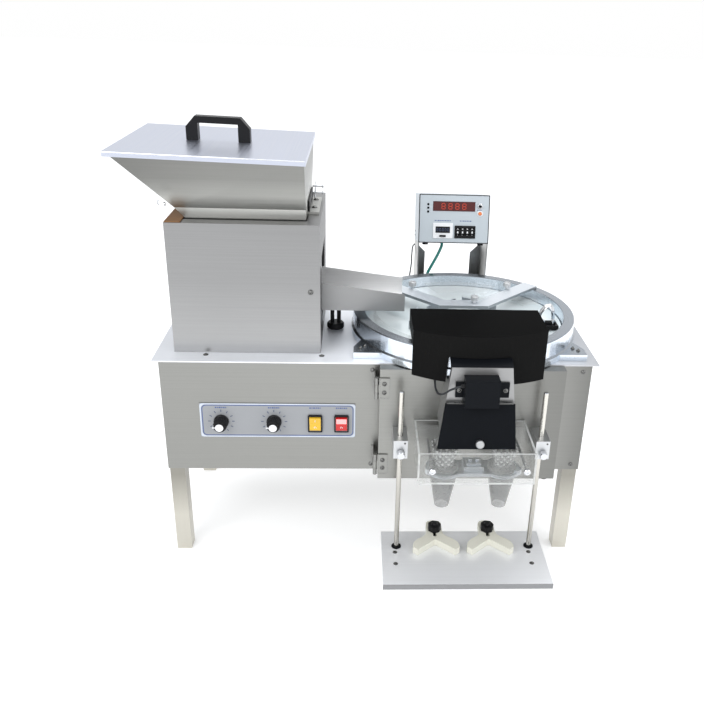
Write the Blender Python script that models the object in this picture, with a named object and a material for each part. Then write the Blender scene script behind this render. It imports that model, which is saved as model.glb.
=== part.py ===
"""Table-top capsule and tablet counter, built as separate closed solids.

Sizes are millimetres in the machine's own frame: X to the right from the middle of the deck,
Y back from the deck's front edge, Z up from the floor. finish() turns them into metres and
moves the middle of the footprint to the world origin.
"""

import bpy
import bmesh
from math import acos, atan2, cos, pi, radians, sin, tan
from mathutils import Matrix, Vector

# ---------------------------------------------------------------- driving sizes (mm)
SHIFT = Vector((20.85, -160.33, 0.0))     # machine frame to footprint centre
GAP = 0.3                                # air kept between pieces that touch
SHEET = 1.5                              # stainless sheet

DECK_W, DECK_D, DECK_TOP, DECK_T = 700.0, 290.0, 361.0, 2.0
CAB_HALF, CAB_FRONT, CAB_BACK, CAB_LOW = 341.0, 6.5, 283.5, 164.0
LEG, LEG_OUT, LEG_FRONT, LEG_BACK = 24.5, 339.3, 9.5, 280.5

FEED_X0, FEED_X1, FEED_Y0, FEED_Y1, FEED_TOP = -321.3, -92.0, 34.3, 252.0, 569.0
LID_X0, LID_X1, LID_Y0, LID_Y1 = -391.7, -110.1, 12.0, 276.0
LID_LEFT_Z, LID_SLOPE, LID_LIP = 674.5, -0.0249, 7.5

RING_X, RING_Y, RING_R, RING_IN, RING_TOP = 146.5, 144.0, 188.0, 170.0, 401.0
FLANGE_TOP = 371.3
DISC_R, DISC_LOW, DISC_TOP = 168.5, 375.0, 381.0
PULLEY_LOW, PULLEY_HIGH, PULLEY_R, MOTOR_PULLEY_R = 258.0, 274.0, 38.5, 16.5
MOTOR_X = 40.0

TROUGH_X0, TROUGH_X1, TROUGH_Y0, TROUGH_Y1, TROUGH_LOW = -300.0, 43.0, 100.0, 188.0, 409.5

DOOR_X0, DOOR_X1, DOOR_FRONT, DOOR_LOW, DOOR_TOP = 1.4, 293.0, -20.0, 162.5, 359.5
HINGE_X, HINGE_Y, KNUCKLE_R = -3.5, -21.0, 3.3
HINGES = {"hinge_upper": (309.7, 346.0), "hinge_lower": (172.0, 209.5)}

HOOD_X0, HOOD_X1, HOOD_BACK, HOOD_R, HOOD_TOP = 49.3, 255.5, 60.0, 200.0, 430.0
CHUTE_TOP, CHUTE_STEP, CHUTE_MOUTH, CHUTE_LOW, CHUTE_FRONT = 387.5, 357.0, 331.0, 280.0, -70.0
FLAP_Y, FLAP_Z = -75.5, 331.0

TRAY_X0, TRAY_X1, TRAY_Y0, TRAY_Y1, TRAY_LOW, TRAY_TOP = 57.0, 234.5, -124.0, -38.0, 220.0, 272.0
NOZZLES = {"funnel_left": 100.0, "funnel_right": 190.0}
NOZZLE_Y, NOZZLE_TIP = -88.0, 161.0

RODS = {"left": 34.5, "right": 257.0}
ROD_Y, ROD_R, ROD_TOP = -46.0, 4.0, 334.5
PLATE_X0, PLATE_X1, PLATE_Y0, PLATE_Y1, PLATE_TOP, PLATE_T = 10.0, 279.5, -141.0, -6.0, 46.0, 10.0
LOCATORS = {"left": 100.0, "right": 190.0}
LOCATOR_T, STAR_Y, STAR_R = 12.0, -17.0, 11.3

PANEL_X0, PANEL_X1, PANEL_Z0, PANEL_Z1, PANEL_T = -283.0, -36.0, 225.0, 285.5, 1.2
KNOBS = {"vibrator_knob": -249.7, "turntable_knob": -166.0}
ROCKERS = {"rocker_yellow": -100.4, "rocker_red": -58.1}
KNOB_Z, ROCKER_Z = 253.5, 251.0

BOX_X0, BOX_X1, BOX_Y0, BOX_Y1, BOX_Z0, BOX_Z1 = 80.0, 214.0, 340.0, 445.0, 457.3, 548.5
WHEEL_X0, WHEEL_PITCH, WHEEL_Y, WHEEL_Z, WHEEL_R = 150.3, 9.2, 350.5, 479.0, 11.5
BUTTON_X, BUTTON_Z, TOGGLE_Z = 195.7, 513.7, 527.8
# The counter leans back about the lower front edge of its case.
LEAN = radians(12)
LEANED = (Matrix.Translation((0, BOX_Y0, BOX_Z0)) @ Matrix.Rotation(-LEAN, 4, "X")
          @ Matrix.Translation((0, -BOX_Y0, -BOX_Z0)))


# ---------------------------------------------------------------- mesh tools
def new_object(bm):
    """Turn a bmesh into a scene object with outward normals."""
    bmesh.ops.recalc_face_normals(bm, faces=bm.faces)
    mesh = bpy.data.meshes.new("piece")
    bm.to_mesh(mesh)
    bm.free()
    obj = bpy.data.objects.new("piece", mesh)
    bpy.context.scene.collection.objects.link(obj)
    return obj


def loft(sections):
    """Closed solid through loops of the same number of points."""
    bm = bmesh.new()
    rings = [[bm.verts.new(p) for p in loop] for loop in sections]
    count = len(rings[0])
    for low, high in zip(rings, rings[1:]):
        for i in range(count):
            j = (i + 1) % count
            bm.faces.new((low[i], low[j], high[j], high[i]))
    bm.faces.new(list(reversed(rings[0])))
    bm.faces.new(rings[-1])
    return new_object(bm)


def prism(outline, axis, start, end):
    """Extrude a flat outline along X, Y or Z. The outline's pairs are the other two axes."""
    def place(pair, depth):
        a, b = pair
        return {"X": (depth, a, b), "Y": (a, depth, b), "Z": (a, b, depth)}[axis]
    return loft([[place(pair, start) for pair in outline], [place(pair, end) for pair in outline]])


def box(x0, x1, y0, y1, z0, z1):
    return prism([(x0, y0), (x1, y0), (x1, y1), (x0, y1)], "Z", z0, z1)


def circle(cx, cy, radius, count, start=0.0):
    steps = [start + 2 * pi * i / count for i in range(count)]
    return [(cx + radius * cos(a), cy + radius * sin(a)) for a in steps]


def cylinder(cx, cy, radius, z0, z1, count=24):
    return prism(circle(cx, cy, radius, count), "Z", z0, z1)


def lathe(profile, centre, axis="Z", count=32):
    """Turn (radius, height) pairs about an axis through centre. A radius of 0 makes a pole."""
    bm = bmesh.new()
    rows = []
    for radius, height in profile:
        ring = []
        for i in range(1 if radius == 0 else count):
            a = 2 * pi * i / count
            ring.append(bm.verts.new((radius * cos(a), radius * sin(a), height)))
        rows.append(ring)
    closed = profile[0][0] > 0 and profile[-1][0] > 0
    pairs = list(zip(rows, rows[1:])) + ([(rows[-1], rows[0])] if closed else [])
    for low, high in pairs:
        for i in range(count):
            j = (i + 1) % count
            corners = [low[i % len(low)], low[j % len(low)], high[j % len(high)], high[i % len(high)]]
            unique = [v for k, v in enumerate(corners) if v not in corners[:k]]
            if len(unique) > 2:
                bm.faces.new(unique)
    turn = {"Z": Matrix(), "X": Matrix.Rotation(pi / 2, 4, "Y"), "-Y": Matrix.Rotation(pi / 2, 4, "X")}
    bmesh.ops.transform(bm, matrix=Matrix.Translation(centre) @ turn[axis], verts=bm.verts)
    return new_object(bm)


def tube(path, radius, count=10):
    """Round cable along a smoothed path."""
    points = [Vector(p) for p in path]
    smooth = []
    for i in range(len(points) - 1):
        before = points[max(i - 1, 0)]
        after = points[min(i + 2, len(points) - 1)]
        for k in range(3):
            t = k / 3
            tangent_a = (points[i + 1] - before) / 2
            tangent_b = (after - points[i]) / 2
            smooth.append(points[i] * (2 * t**3 - 3 * t**2 + 1) + tangent_a * (t**3 - 2 * t**2 + t)
                          + points[i + 1] * (3 * t**2 - 2 * t**3) + tangent_b * (t**3 - t**2))
    smooth.append(points[-1])
    loops = []
    side = None
    for i, point in enumerate(smooth):
        ahead = (smooth[min(i + 1, len(smooth) - 1)] - smooth[max(i - 1, 0)]).normalized()
        if side is None:
            side = ahead.orthogonal().normalized()
        side = (side - ahead * side.dot(ahead)).normalized()
        up = ahead.cross(side)
        loops.append([point + (side * cos(a) + up * sin(a)) * radius
                      for a in (2 * pi * k / count for k in range(count))])
    return loft(loops)


def combine(base, others, operation):
    """Apply exact booleans to base and remove the other solids."""
    for other in others:
        modifier = base.modifiers.new("combine", "BOOLEAN")
        modifier.operation = operation
        modifier.solver = "EXACT"
        modifier.object = other
        graph = bpy.context.evaluated_depsgraph_get()
        graph.update()
        mesh = bpy.data.meshes.new_from_object(base.evaluated_get(graph))
        base.modifiers.clear()
        base.data = mesh
        bpy.data.objects.remove(other, do_unlink=True)
    return base


def cut(base, *others):
    return combine(base, others, "DIFFERENCE")


def join(base, *others):
    return combine(base, others, "UNION")


def finish(name, obj, colour, pivot=(0.0, 0.0, 0.0), metal=0.0, rough=0.5, smooth=False):
    """Name the piece, put its origin on its pivot and give it its own material."""
    bm = bmesh.new()
    bm.from_mesh(obj.data)
    bmesh.ops.remove_doubles(bm, verts=bm.verts, dist=0.002)
    bmesh.ops.dissolve_limit(bm, angle_limit=radians(0.2), verts=bm.verts, edges=bm.edges)
    bmesh.ops.triangulate(bm, faces=[f for f in bm.faces if len(f.verts) > 4])
    bmesh.ops.recalc_face_normals(bm, faces=bm.faces)
    centre = Vector(pivot)
    for vert in bm.verts:
        vert.co = (vert.co - centre) * 0.001
    for face in bm.faces:
        face.smooth = smooth
    if smooth:
        for edge in bm.edges:
            edge.smooth = len(edge.link_faces) == 2 and edge.calc_face_angle(0.0) < radians(35)
    bm.to_mesh(obj.data)
    bm.free()
    obj.name = name
    obj.data.name = name
    obj.location = (centre + SHIFT) * 0.001
    material = bpy.data.materials.new(name)
    material.use_nodes = True
    shader = material.node_tree.nodes["Principled BSDF"]
    shader.inputs["Base Color"].default_value = (*colour, 1.0)
    shader.inputs["Metallic"].default_value = metal
    shader.inputs["Roughness"].default_value = rough
    obj.data.materials.clear()
    obj.data.materials.append(material)
    return obj


STEEL = (0.62, 0.62, 0.60)
ALUMINIUM = (0.72, 0.74, 0.78)
BLACK = (0.02, 0.02, 0.02)


# ---------------------------------------------------------------- cabinet, deck and legs
def build_cabinet():
    shell = box(-CAB_HALF, CAB_HALF, CAB_FRONT, CAB_BACK, CAB_LOW, DECK_TOP - DECK_T - GAP)
    shell = cut(shell,
                box(-CAB_HALF + SHEET, CAB_HALF - SHEET, CAB_FRONT + SHEET, CAB_BACK - SHEET,
                    CAB_LOW + SHEET, DECK_TOP),
                box(20, 272, CAB_FRONT - 2, CAB_FRONT + 5, 185, 340))
    finish("cabinet_shell", shell, STEEL, metal=1.0, rough=0.35)

    deck = box(-DECK_W / 2, DECK_W / 2, 0, DECK_D, DECK_TOP - DECK_T, DECK_TOP)
    deck = cut(deck, cylinder(RING_X, RING_Y, 45, DECK_TOP - 9, DECK_TOP + 9, 32))
    finish("deck_plate", deck, ALUMINIUM, metal=1.0, rough=0.3)

    for name, side in (("leg_frame_left", -1), ("leg_frame_right", 1)):
        x0, x1 = sorted((side * LEG_OUT, side * (LEG_OUT - LEG)))
        top = CAB_LOW - GAP
        frame = box(x0, x1, LEG_FRONT, LEG_FRONT + LEG, 0, top)
        frame = join(frame,
                     box(x0, x1, LEG_BACK - LEG, LEG_BACK, 0, top),
                     box(x0 + 1, x1 - 1, LEG_FRONT + LEG - 1, LEG_BACK - LEG + 1, 147, top - 0.5))
        finish(name, frame, STEEL, metal=1.0, rough=0.3)


def build_panel():
    back = CAB_FRONT - GAP
    front = back - PANEL_T
    panel = box(PANEL_X0, PANEL_X1, front, back, PANEL_Z0, PANEL_Z1)
    for centre in ROCKERS.values():
        panel = join(panel, box(centre - 11.3, centre + 11.3, front - 3, front + 0.5,
                                ROCKER_Z - 15, ROCKER_Z + 15))
        panel = cut(panel, box(centre - 9.4, centre + 9.4, front - 9, back + 9,
                               ROCKER_Z - 12.9, ROCKER_Z + 12.9))
    finish("control_panel", panel, (0.68, 0.70, 0.74), metal=0.6, rough=0.4)

    for name, x in KNOBS.items():
        depth = front - GAP
        knob = lathe([(0, 0), (12, 0), (12, 3), (10.6, 4), (9.9, 19), (8.6, 21), (7.0, 21), (7.0, 22.5),
                      (0, 22.5)], (x, depth, KNOB_Z), "-Y", 28)
        finish(name, knob, BLACK, pivot=(x, depth, KNOB_Z), smooth=True)

    for name, x in ROCKERS.items():
        pivot = Vector((x, front - 1.0, ROCKER_Z))
        outline = [(-3.4, 12), (-1.8, 0), (-3.4, -12), (0.3, -12), (0.3, 12)]
        tilt = radians(8)
        turned = [(pivot.y + y * cos(tilt) - z * sin(tilt), pivot.z + y * sin(tilt) + z * cos(tilt))
                  for y, z in outline]
        colour = (0.85, 0.65, 0.08) if name == "rocker_yellow" else (0.8, 0.08, 0.06)
        finish(name, prism(turned, "X", x - 9.0, x + 9.0), colour, pivot=pivot, rough=0.3)


# ---------------------------------------------------------------- feeder, hopper and trough
def rectangle(x0, x1, y0, y1, z_left, z_right):
    return [(x0, y0, z_left), (x1, y0, z_right), (x1, y1, z_right), (x0, y1, z_left)]


def lid_top(x):
    return LID_LEFT_Z + LID_SLOPE * (x - LID_X0)


def build_feeder():
    low = DECK_TOP + GAP
    housing = box(FEED_X0, FEED_X1, FEED_Y0, FEED_Y1, low, FEED_TOP)
    housing = cut(housing,
                  box(FEED_X0 + SHEET, FEED_X1 - SHEET, FEED_Y0 + SHEET, FEED_Y1 - SHEET,
                      low - 5, FEED_TOP - SHEET),
                  box(FEED_X0 + 8, FEED_X1 - 20, 57, FEED_Y1 - 8, FEED_TOP - 9, FEED_TOP + 9),
                  box(FEED_X1 - 6, FEED_X1 + 6, TROUGH_Y0 - 12, TROUGH_Y1 + 12, 398, 505))
    finish("feeder_housing", housing, STEEL, metal=1.0, rough=0.35)

    rim_left, rim_right = lid_top(-389.5) - 1.6, lid_top(-112.5) - 1.6
    steps = [(-232, -148, 106, 182, 478, 478), (-290, -116, 64, 224, 556, 556),
             (-294, -114, 60, 228, 570, 570), (-308.5, -113.5, 58, 230, 586, 586),
             (-389.5, -112.5, 16, 272, rim_left, rim_right)]
    outer = loft([rectangle(*step) for step in steps])
    inner = []
    for k, (x0, x1, y0, y1, za, zb) in enumerate(steps):
        lift = {0: -2.0, len(steps) - 1: 2.0}.get(k, 0.0)
        inner.append(rectangle(x0 + SHEET, x1 - SHEET, y0 + SHEET, y1 - SHEET, za + lift, zb + lift))
    hopper = join(outer, box(-115.2, -96, 98, 200, FEED_TOP + GAP, FEED_TOP + 4.5))
    hopper = cut(hopper, loft(inner))
    finish("hopper", hopper, STEEL, metal=1.0, rough=0.4)

    edge = [(LID_X0, lid_top(LID_X0) - LID_LIP), (LID_X1, lid_top(LID_X1) - LID_LIP),
            (LID_X1, lid_top(LID_X1)), (LID_X0, lid_top(LID_X0))]
    lid = prism(edge, "Y", LID_Y0, LID_Y1)
    inside = [(LID_X0 + 1.2, 650), (LID_X1 - 1.2, 650), (LID_X1 - 1.2, lid_top(LID_X1) - 1.2),
              (LID_X0 + 1.2, lid_top(LID_X0) - 1.2)]
    lid = cut(lid, prism(inside, "Y", LID_Y0 + 1.2, LID_Y1 - 1.2))
    finish("hopper_lid", lid, ALUMINIUM, metal=1.0, rough=0.3)

    middle_x, middle_y = (LID_X0 + LID_X1) / 2, (LID_Y0 + LID_Y1) / 2
    arch = [(-48.5, 0), (-30.5, 0), (-30.5, 26), (30.5, 26), (30.5, 0), (48.5, 0), (48.5, 20),
            (34.5, 36), (-34.5, 36), (-48.5, 20)]
    outline = [(middle_x + x, lid_top(middle_x + x) + GAP + z) for x, z in arch]
    finish("lid_handle", prism(outline, "Y", middle_y - 8.5, middle_y + 8.5), BLACK, rough=0.4)


def build_trough():
    side = [(TROUGH_X0, TROUGH_LOW), (TROUGH_X1, TROUGH_LOW), (TROUGH_X1, 438.5), (-95, 456),
            (TROUGH_X0, 470)]
    trough = prism(side, "Y", TROUGH_Y0, TROUGH_Y1)
    trough = cut(trough, box(TROUGH_X0 + SHEET, TROUGH_X1 + 9, TROUGH_Y0 + SHEET, TROUGH_Y1 - SHEET,
                             TROUGH_LOW + SHEET, 520))
    trough = join(trough, box(-215, -185, 130, 158, 400, TROUGH_LOW + 0.5))
    finish("feed_trough", trough, STEEL, metal=1.0, rough=0.35)

    low = DECK_TOP + GAP
    unit = box(-292, -108, 112, 176, low, 372)
    for x in (-276, -132):
        leaf = [(x, 371), (x + 4, 371), (x + 12, TROUGH_LOW - 1), (x + 8, TROUGH_LOW - 1)]
        unit = join(unit, prism(leaf, "Y", 119, 169))
    unit = join(unit, box(-224, -176, 124, 164, 371, 395))
    finish("vibrator_unit", unit, (0.05, 0.06, 0.06), rough=0.5)

    support = lathe([(0, low), (12.5, low), (14.5, low + 2.5), (14.5, low + 8), (12.5, low + 10.5),
                     (0, low + 10.5)], (-71.5, 144, 0), "Z", 24)
    for x in (-77, -66):
        support = join(support, cylinder(x, 144, 3.4, low + 8, TROUGH_LOW - 0.7, 14))
    finish("trough_support", support, BLACK, rough=0.3, smooth=True)


# ---------------------------------------------------------------- turntable and its drive
def loop_outline(ca, ra, cb, rb, count):
    """Outline of a belt round two circles on a line along X, b to the left of a."""
    lean = acos((ra - rb) / (ca[0] - cb[0]))
    big = [(ca[0] + ra * cos(pi - lean - (2 * pi - 2 * lean) * i / count),
            ca[1] + ra * sin(pi - lean - (2 * pi - 2 * lean) * i / count)) for i in range(count + 1)]
    half = count // 2
    small = [(cb[0] + rb * cos(pi + lean - 2 * lean * i / half),
              cb[1] + rb * sin(pi + lean - 2 * lean * i / half)) for i in range(half + 1)]
    return big + small


def strip(points, half):
    """Flat bar of a given half width along a bent centre line."""
    left, right = [], []
    for i, point in enumerate(points):
        here = Vector(point)
        before = (here - Vector(points[i - 1])).normalized() if i else None
        after = (Vector(points[i + 1]) - here).normalized() if i + 1 < len(points) else None
        along = (before or after) + (after or before)
        along.normalize()
        normal = Vector((-along.y, along.x))
        reach = half / abs(along.dot(before or after))
        left.append(tuple(here + normal * reach))
        right.append(tuple(here - normal * reach))
    return left + right[::-1]


def build_turntable():
    low = DECK_TOP + GAP
    centre = (RING_X, RING_Y, 0)
    ring = lathe([(RING_IN, low), (RING_R + 3, low), (RING_R + 3, FLANGE_TOP), (RING_R, FLANGE_TOP + 2.5),
                  (RING_R, RING_TOP - 1.5), (RING_R - 1.5, RING_TOP), (RING_IN + 1, RING_TOP),
                  (RING_IN, RING_TOP - 1)], centre, "Z", 72)
    corners = [(-186.5, -128), (186.5, -128), (186.5, -104), (174.5, -76), (174.5, 76), (186.5, 104),
               (186.5, 128), (-186.5, 128), (-186.5, 104), (-174.5, 76), (-174.5, -76), (-186.5, -104)]
    plate = prism([(RING_X + x, RING_Y + y) for x, y in corners], "Z", low, FLANGE_TOP)
    plate = cut(plate, cylinder(RING_X, RING_Y, RING_IN + 3, low - 9, FLANGE_TOP + 9, 48))
    ring = join(ring, plate)
    ring = cut(ring, box(108, 188, -60, -14, DISC_TOP + 1.5, RING_TOP + 9))
    finish("turntable_ring", ring, ALUMINIUM, metal=1.0, rough=0.35, smooth=True)

    disc = lathe([(12.4, DISC_LOW), (DISC_R, DISC_LOW), (DISC_R, DISC_TOP), (12.4, DISC_TOP)],
                 centre, "Z", 64)
    finish("glass_disc", disc, (0.75, 0.85, 0.80), pivot=centre, rough=0.1, smooth=True)

    mid = (PULLEY_LOW + PULLEY_HIGH) / 2
    hub = lathe([(0, 246), (8, 246), (8, PULLEY_LOW), (PULLEY_R + 4, PULLEY_LOW),
                 (PULLEY_R + 4, PULLEY_LOW + 3), (PULLEY_R, PULLEY_LOW + 4), (PULLEY_R, PULLEY_HIGH - 4),
                 (PULLEY_R + 4, PULLEY_HIGH - 3), (PULLEY_R + 4, PULLEY_HIGH), (8, PULLEY_HIGH),
                 (8, 363.5), (38, 363.5), (38, DISC_LOW - GAP), (12, DISC_LOW - GAP),
                 (12, DISC_TOP + GAP), (20, DISC_TOP + GAP), (20, DISC_TOP + 3), (0, DISC_TOP + 4.5)],
                centre, "Z", 32)
    finish("disc_hub", hub, ALUMINIUM, pivot=centre, metal=1.0, rough=0.3, smooth=True)

    bracket = cylinder(RING_X, RING_Y, 60, 350, DECK_TOP - DECK_T - GAP, 32)
    bracket = join(bracket,
                   cylinder(RING_X, RING_Y, 17, 292, 352, 24),
                   box(MOTOR_X - 36, RING_X, RING_Y - 36, RING_Y + 36, 345.5, 352))
    bracket = cut(bracket, cylinder(RING_X, RING_Y, 8.8, 280, 370, 24))
    finish("drive_bracket", bracket, (0.35, 0.36, 0.38), metal=1.0, rough=0.5, smooth=True)

    motor = lathe([(0, 288), (16, 288), (16, 291), (30, 293), (30, 340), (26, 345), (0, 345)],
                  (MOTOR_X, RING_Y, 0), "Z", 28)
    motor = cut(motor, cylinder(MOTOR_X, RING_Y, 5.6, 280, 300, 16))
    finish("drive_motor", motor, (0.10, 0.16, 0.14), rough=0.5, smooth=True)

    small = MOTOR_PULLEY_R
    pulley = lathe([(0, 250), (5, 250), (5, PULLEY_LOW), (small + 4, PULLEY_LOW),
                    (small + 4, PULLEY_LOW + 3), (small, PULLEY_LOW + 4), (small, PULLEY_HIGH - 4),
                    (small + 4, PULLEY_HIGH - 3), (small + 4, PULLEY_HIGH), (5, PULLEY_HIGH),
                    (5, 298), (0, 298)], (MOTOR_X, RING_Y, 0), "Z", 24)
    finish("motor_pulley", pulley, ALUMINIUM, pivot=(MOTOR_X, RING_Y, mid), metal=1.0, rough=0.4,
           smooth=True)

    ends = ((RING_X, RING_Y), (MOTOR_X, RING_Y))
    outer = loop_outline(ends[0], PULLEY_R + 2.8, ends[1], small + 2.8, 32)
    inner = loop_outline(ends[0], PULLEY_R + GAP, ends[1], small + GAP, 32)
    belt = cut(prism(outer, "Z", mid - 3.2, mid + 3.2), prism(inner, "Z", mid - 9, mid + 9))
    finish("drive_belt", belt, BLACK, rough=0.8)

    line = [(RING_X - 138, RING_Y + 112), (RING_X - 36, RING_Y + 8), (RING_X + 36, RING_Y + 8),
            (RING_X + 138, RING_Y + 112)]
    bar = prism(strip(line, 14), "Z", RING_TOP + GAP, RING_TOP + 5.3)
    finish("bridge_bar", bar, ALUMINIUM, metal=1.0, rough=0.3)

    turns = [radians(138 + 124 * i / 24) for i in range(25)]
    fence = [(RING_X + 154 * cos(a), RING_Y + 154 * sin(a)) for a in turns]
    fence += [(RING_X + 150 * cos(a), RING_Y + 150 * sin(a)) for a in reversed(turns)]
    guide = prism(fence, "Z", DISC_TOP + 1.5, 396)
    spot = (RING_X + 152 * cos(turns[1]), RING_Y + 152 * sin(turns[1]))
    guide = join(guide, cylinder(*spot, 5, DISC_TOP + 6, RING_TOP - 0.1, 16))
    finish("guide_plate", guide, (0.85, 0.9, 0.88), rough=0.1)


# ---------------------------------------------------------------- door, chute, tray and platform
def build_door():
    inner_x = (DOOR_X0 + SHEET, DOOR_X1 - SHEET)
    door = box(DOOR_X0, DOOR_X1, DOOR_FRONT, -0.4, DOOR_LOW, DOOR_TOP)
    door = join(door, box(DOOR_X0, DOOR_X1, DOOR_FRONT + 3, CAB_FRONT - 0.6, DOOR_LOW, 358.2))
    door = cut(door, box(*inner_x, DOOR_FRONT + SHEET, CAB_FRONT + 9, DOOR_LOW + SHEET, 356.7))
    for low, high in HINGES.values():
        third = (high - low) / 3
        knuckle = cylinder(HINGE_X, HINGE_Y, KNUCKLE_R, low + third + 0.3, high - third - 0.3, 20)
        leaf = box(HINGE_X + 2.4, 17, HINGE_Y - 1, DOOR_FRONT + 0.5, low + 0.5, high - 0.5)
        leaf = cut(leaf, box(HINGE_X + 2, HINGE_X + KNUCKLE_R + 0.6, HINGE_Y - 3, DOOR_FRONT + 2,
                             low, low + third + 0.3),
                   box(HINGE_X + 2, HINGE_X + KNUCKLE_R + 0.6, HINGE_Y - 3, DOOR_FRONT + 2,
                       high - third - 0.3, high))
        knuckle = join(knuckle, leaf)
        knuckle = cut(knuckle, cylinder(HINGE_X, HINGE_Y, 1.9, low, high, 14))
        door = join(door, knuckle)
    finish("door_panel", door, STEEL, pivot=(HINGE_X, HINGE_Y, 0), metal=1.0, rough=0.35)

    for name, (low, high) in HINGES.items():
        third = (high - low) / 3
        web = box(HINGE_X - 3.1, HINGE_X - 1.6, HINGE_Y + 4, CAB_FRONT - GAP, low, high)
        web = join(web, box(-10, HINGE_X - 1.6, CAB_FRONT - 1.3, CAB_FRONT - GAP, low, high))
        for z0, z1 in ((low, low + third), (high - third, high)):
            web = join(web,
                       box(HINGE_X - 3.1, HINGE_X - 1.6, HINGE_Y, HINGE_Y + 5, z0, z1),
                       cylinder(HINGE_X, HINGE_Y, KNUCKLE_R, z0, z1, 20))
        web = join(web, cylinder(HINGE_X, HINGE_Y, 1.5, low + 1, high - 1, 14))
        finish(name, web, STEEL, metal=1.0, rough=0.3)


def chute_edge(z, inset=0.0):
    """Left and right edge of the flaring chute at a height."""
    down = (CHUTE_TOP - z) / (CHUTE_TOP - CHUTE_MOUTH)
    return 106 - 6.5 * down + inset, 197 + 6.5 * down - inset


def chute_solid(profile, inset):
    """Side profile (Y, Z) trimmed to the flare seen from the front."""
    low, high = CHUTE_LOW - 20, CHUTE_TOP + 20
    (a0, b0), (a1, b1) = chute_edge(low, inset), chute_edge(high, inset)
    flare = prism([(a0, low), (b0, low), (b1, high), (a1, high)], "Y", -140, 40)
    return combine(prism(profile, "X", 40, 260), [flare], "INTERSECT")


def build_chute():
    back = DOOR_FRONT - GAP
    front, step = CHUTE_FRONT, CHUTE_FRONT + 12
    outer = [(front, CHUTE_LOW), (back, CHUTE_LOW), (back, CHUTE_STEP), (step, CHUTE_STEP),
             (step, CHUTE_TOP), (front, CHUTE_TOP)]
    inner = [(front + SHEET, CHUTE_LOW - 5), (back - SHEET, CHUTE_LOW - 5),
             (back - SHEET, CHUTE_STEP - SHEET), (step - SHEET, CHUTE_STEP - SHEET),
             (step - SHEET, CHUTE_TOP + 5), (front + SHEET, CHUTE_TOP + 5)]
    mouth = [(front - 5, CHUTE_LOW - 5), (front + 5, CHUTE_LOW - 5), (front + 5, CHUTE_MOUTH),
             (front - 5, CHUTE_MOUTH)]
    chute = cut(chute_solid(outer, 0), chute_solid(inner, SHEET), chute_solid(mouth, 4))
    finish("chute_housing", chute, STEEL, metal=1.0, rough=0.35)

    y = CHUTE_FRONT - GAP
    sensor = box(124.3, 176, -95, y, 333, 376)
    sensor = join(sensor, box(112.5, 193.5, y - 3, y, 340, 364.5))
    finish("sensor_box", sensor, BLACK, rough=0.4)

    route = [(86, -20.4, 345), (86, -27, 344), (86.5, -35, 337), (89, -46, 333.5), (93, -60, 338),
             (98, -73, 347), (104, -79, 355), (114, -84, 362), (123.6, -84, 364)]
    finish("sensor_cable", tube(route, 1.6, 8), BLACK, rough=0.6, smooth=True)

    top, bottom = (FLAP_Y - 2, FLAP_Z), (-101, 267)
    face = []
    for shift in (0.0, 3.0):
        face.append([(98, top[0] + shift, top[1]), (203.7, top[0] + shift, top[1]),
                     (205.8, bottom[0] + shift, bottom[1]), (87, bottom[0] + shift, bottom[1])])
    finish("chute_flap", loft(face), BLACK, pivot=(151, FLAP_Y, FLAP_Z - 1), rough=0.25)

    pivot = (151.5, -45.5, 345)
    vane = prism(circle(pivot[0], pivot[2], 2.5, 16), "Y", -66.5, -24.5)
    vane = join(vane, box(pivot[0] - 1, pivot[0] + 1, -66, -25, 290, 344))
    finish("diverter_vane", vane, STEEL, pivot=pivot, metal=1.0, rough=0.3)


def arc_plan(radius, inset):
    """Plan of the hood: a curved front between two straight sides, open towards the ring."""
    x0, x1 = HOOD_X0 + inset, HOOD_X1 - inset
    start = atan2(-((radius**2 - (x0 - RING_X)**2) ** 0.5), x0 - RING_X)
    stop = atan2(-((radius**2 - (x1 - RING_X)**2) ** 0.5), x1 - RING_X)
    arc = [start + (stop - start) * i / 16 for i in range(17)]
    front = [(RING_X + radius * cos(a), RING_Y + radius * sin(a)) for a in arc]
    return front + [(x1, HOOD_BACK + inset * 4), (x0, HOOD_BACK + inset * 4)]


def build_hood():
    hood = prism(arc_plan(HOOD_R, 0), "Z", 345, HOOD_TOP)
    hood = cut(hood,
               prism(arc_plan(HOOD_R - 2, 2), "Z", 340, HOOD_TOP - 2),
               cylinder(RING_X, RING_Y, HOOD_R - 2.4, 330, RING_TOP + 1.5, 64),
               prism([(102.4, 396), (195.5, 396), (206, 338), (98, 338)], "Y", -90, -30),
               prism([(40, 357), (265, 347), (265, 330), (40, 330)], "Y", -90, 90))
    finish("discharge_hood", hood, BLACK, pivot=(RING_X, RING_Y, HOOD_TOP), rough=0.3, smooth=True)


def squircle(cx, cy, half, power, z, count=20):
    """Section that runs from a circle (power 2) to a rounded square (higher power)."""
    points = []
    for i in range(count):
        a = 2 * pi * (i + 0.5) / count
        c, s = cos(a), sin(a)
        scale = half / (abs(c)**power + abs(s)**power) ** (1 / power)
        points.append((cx + scale * c, cy + scale * s, z))
    return points


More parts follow.
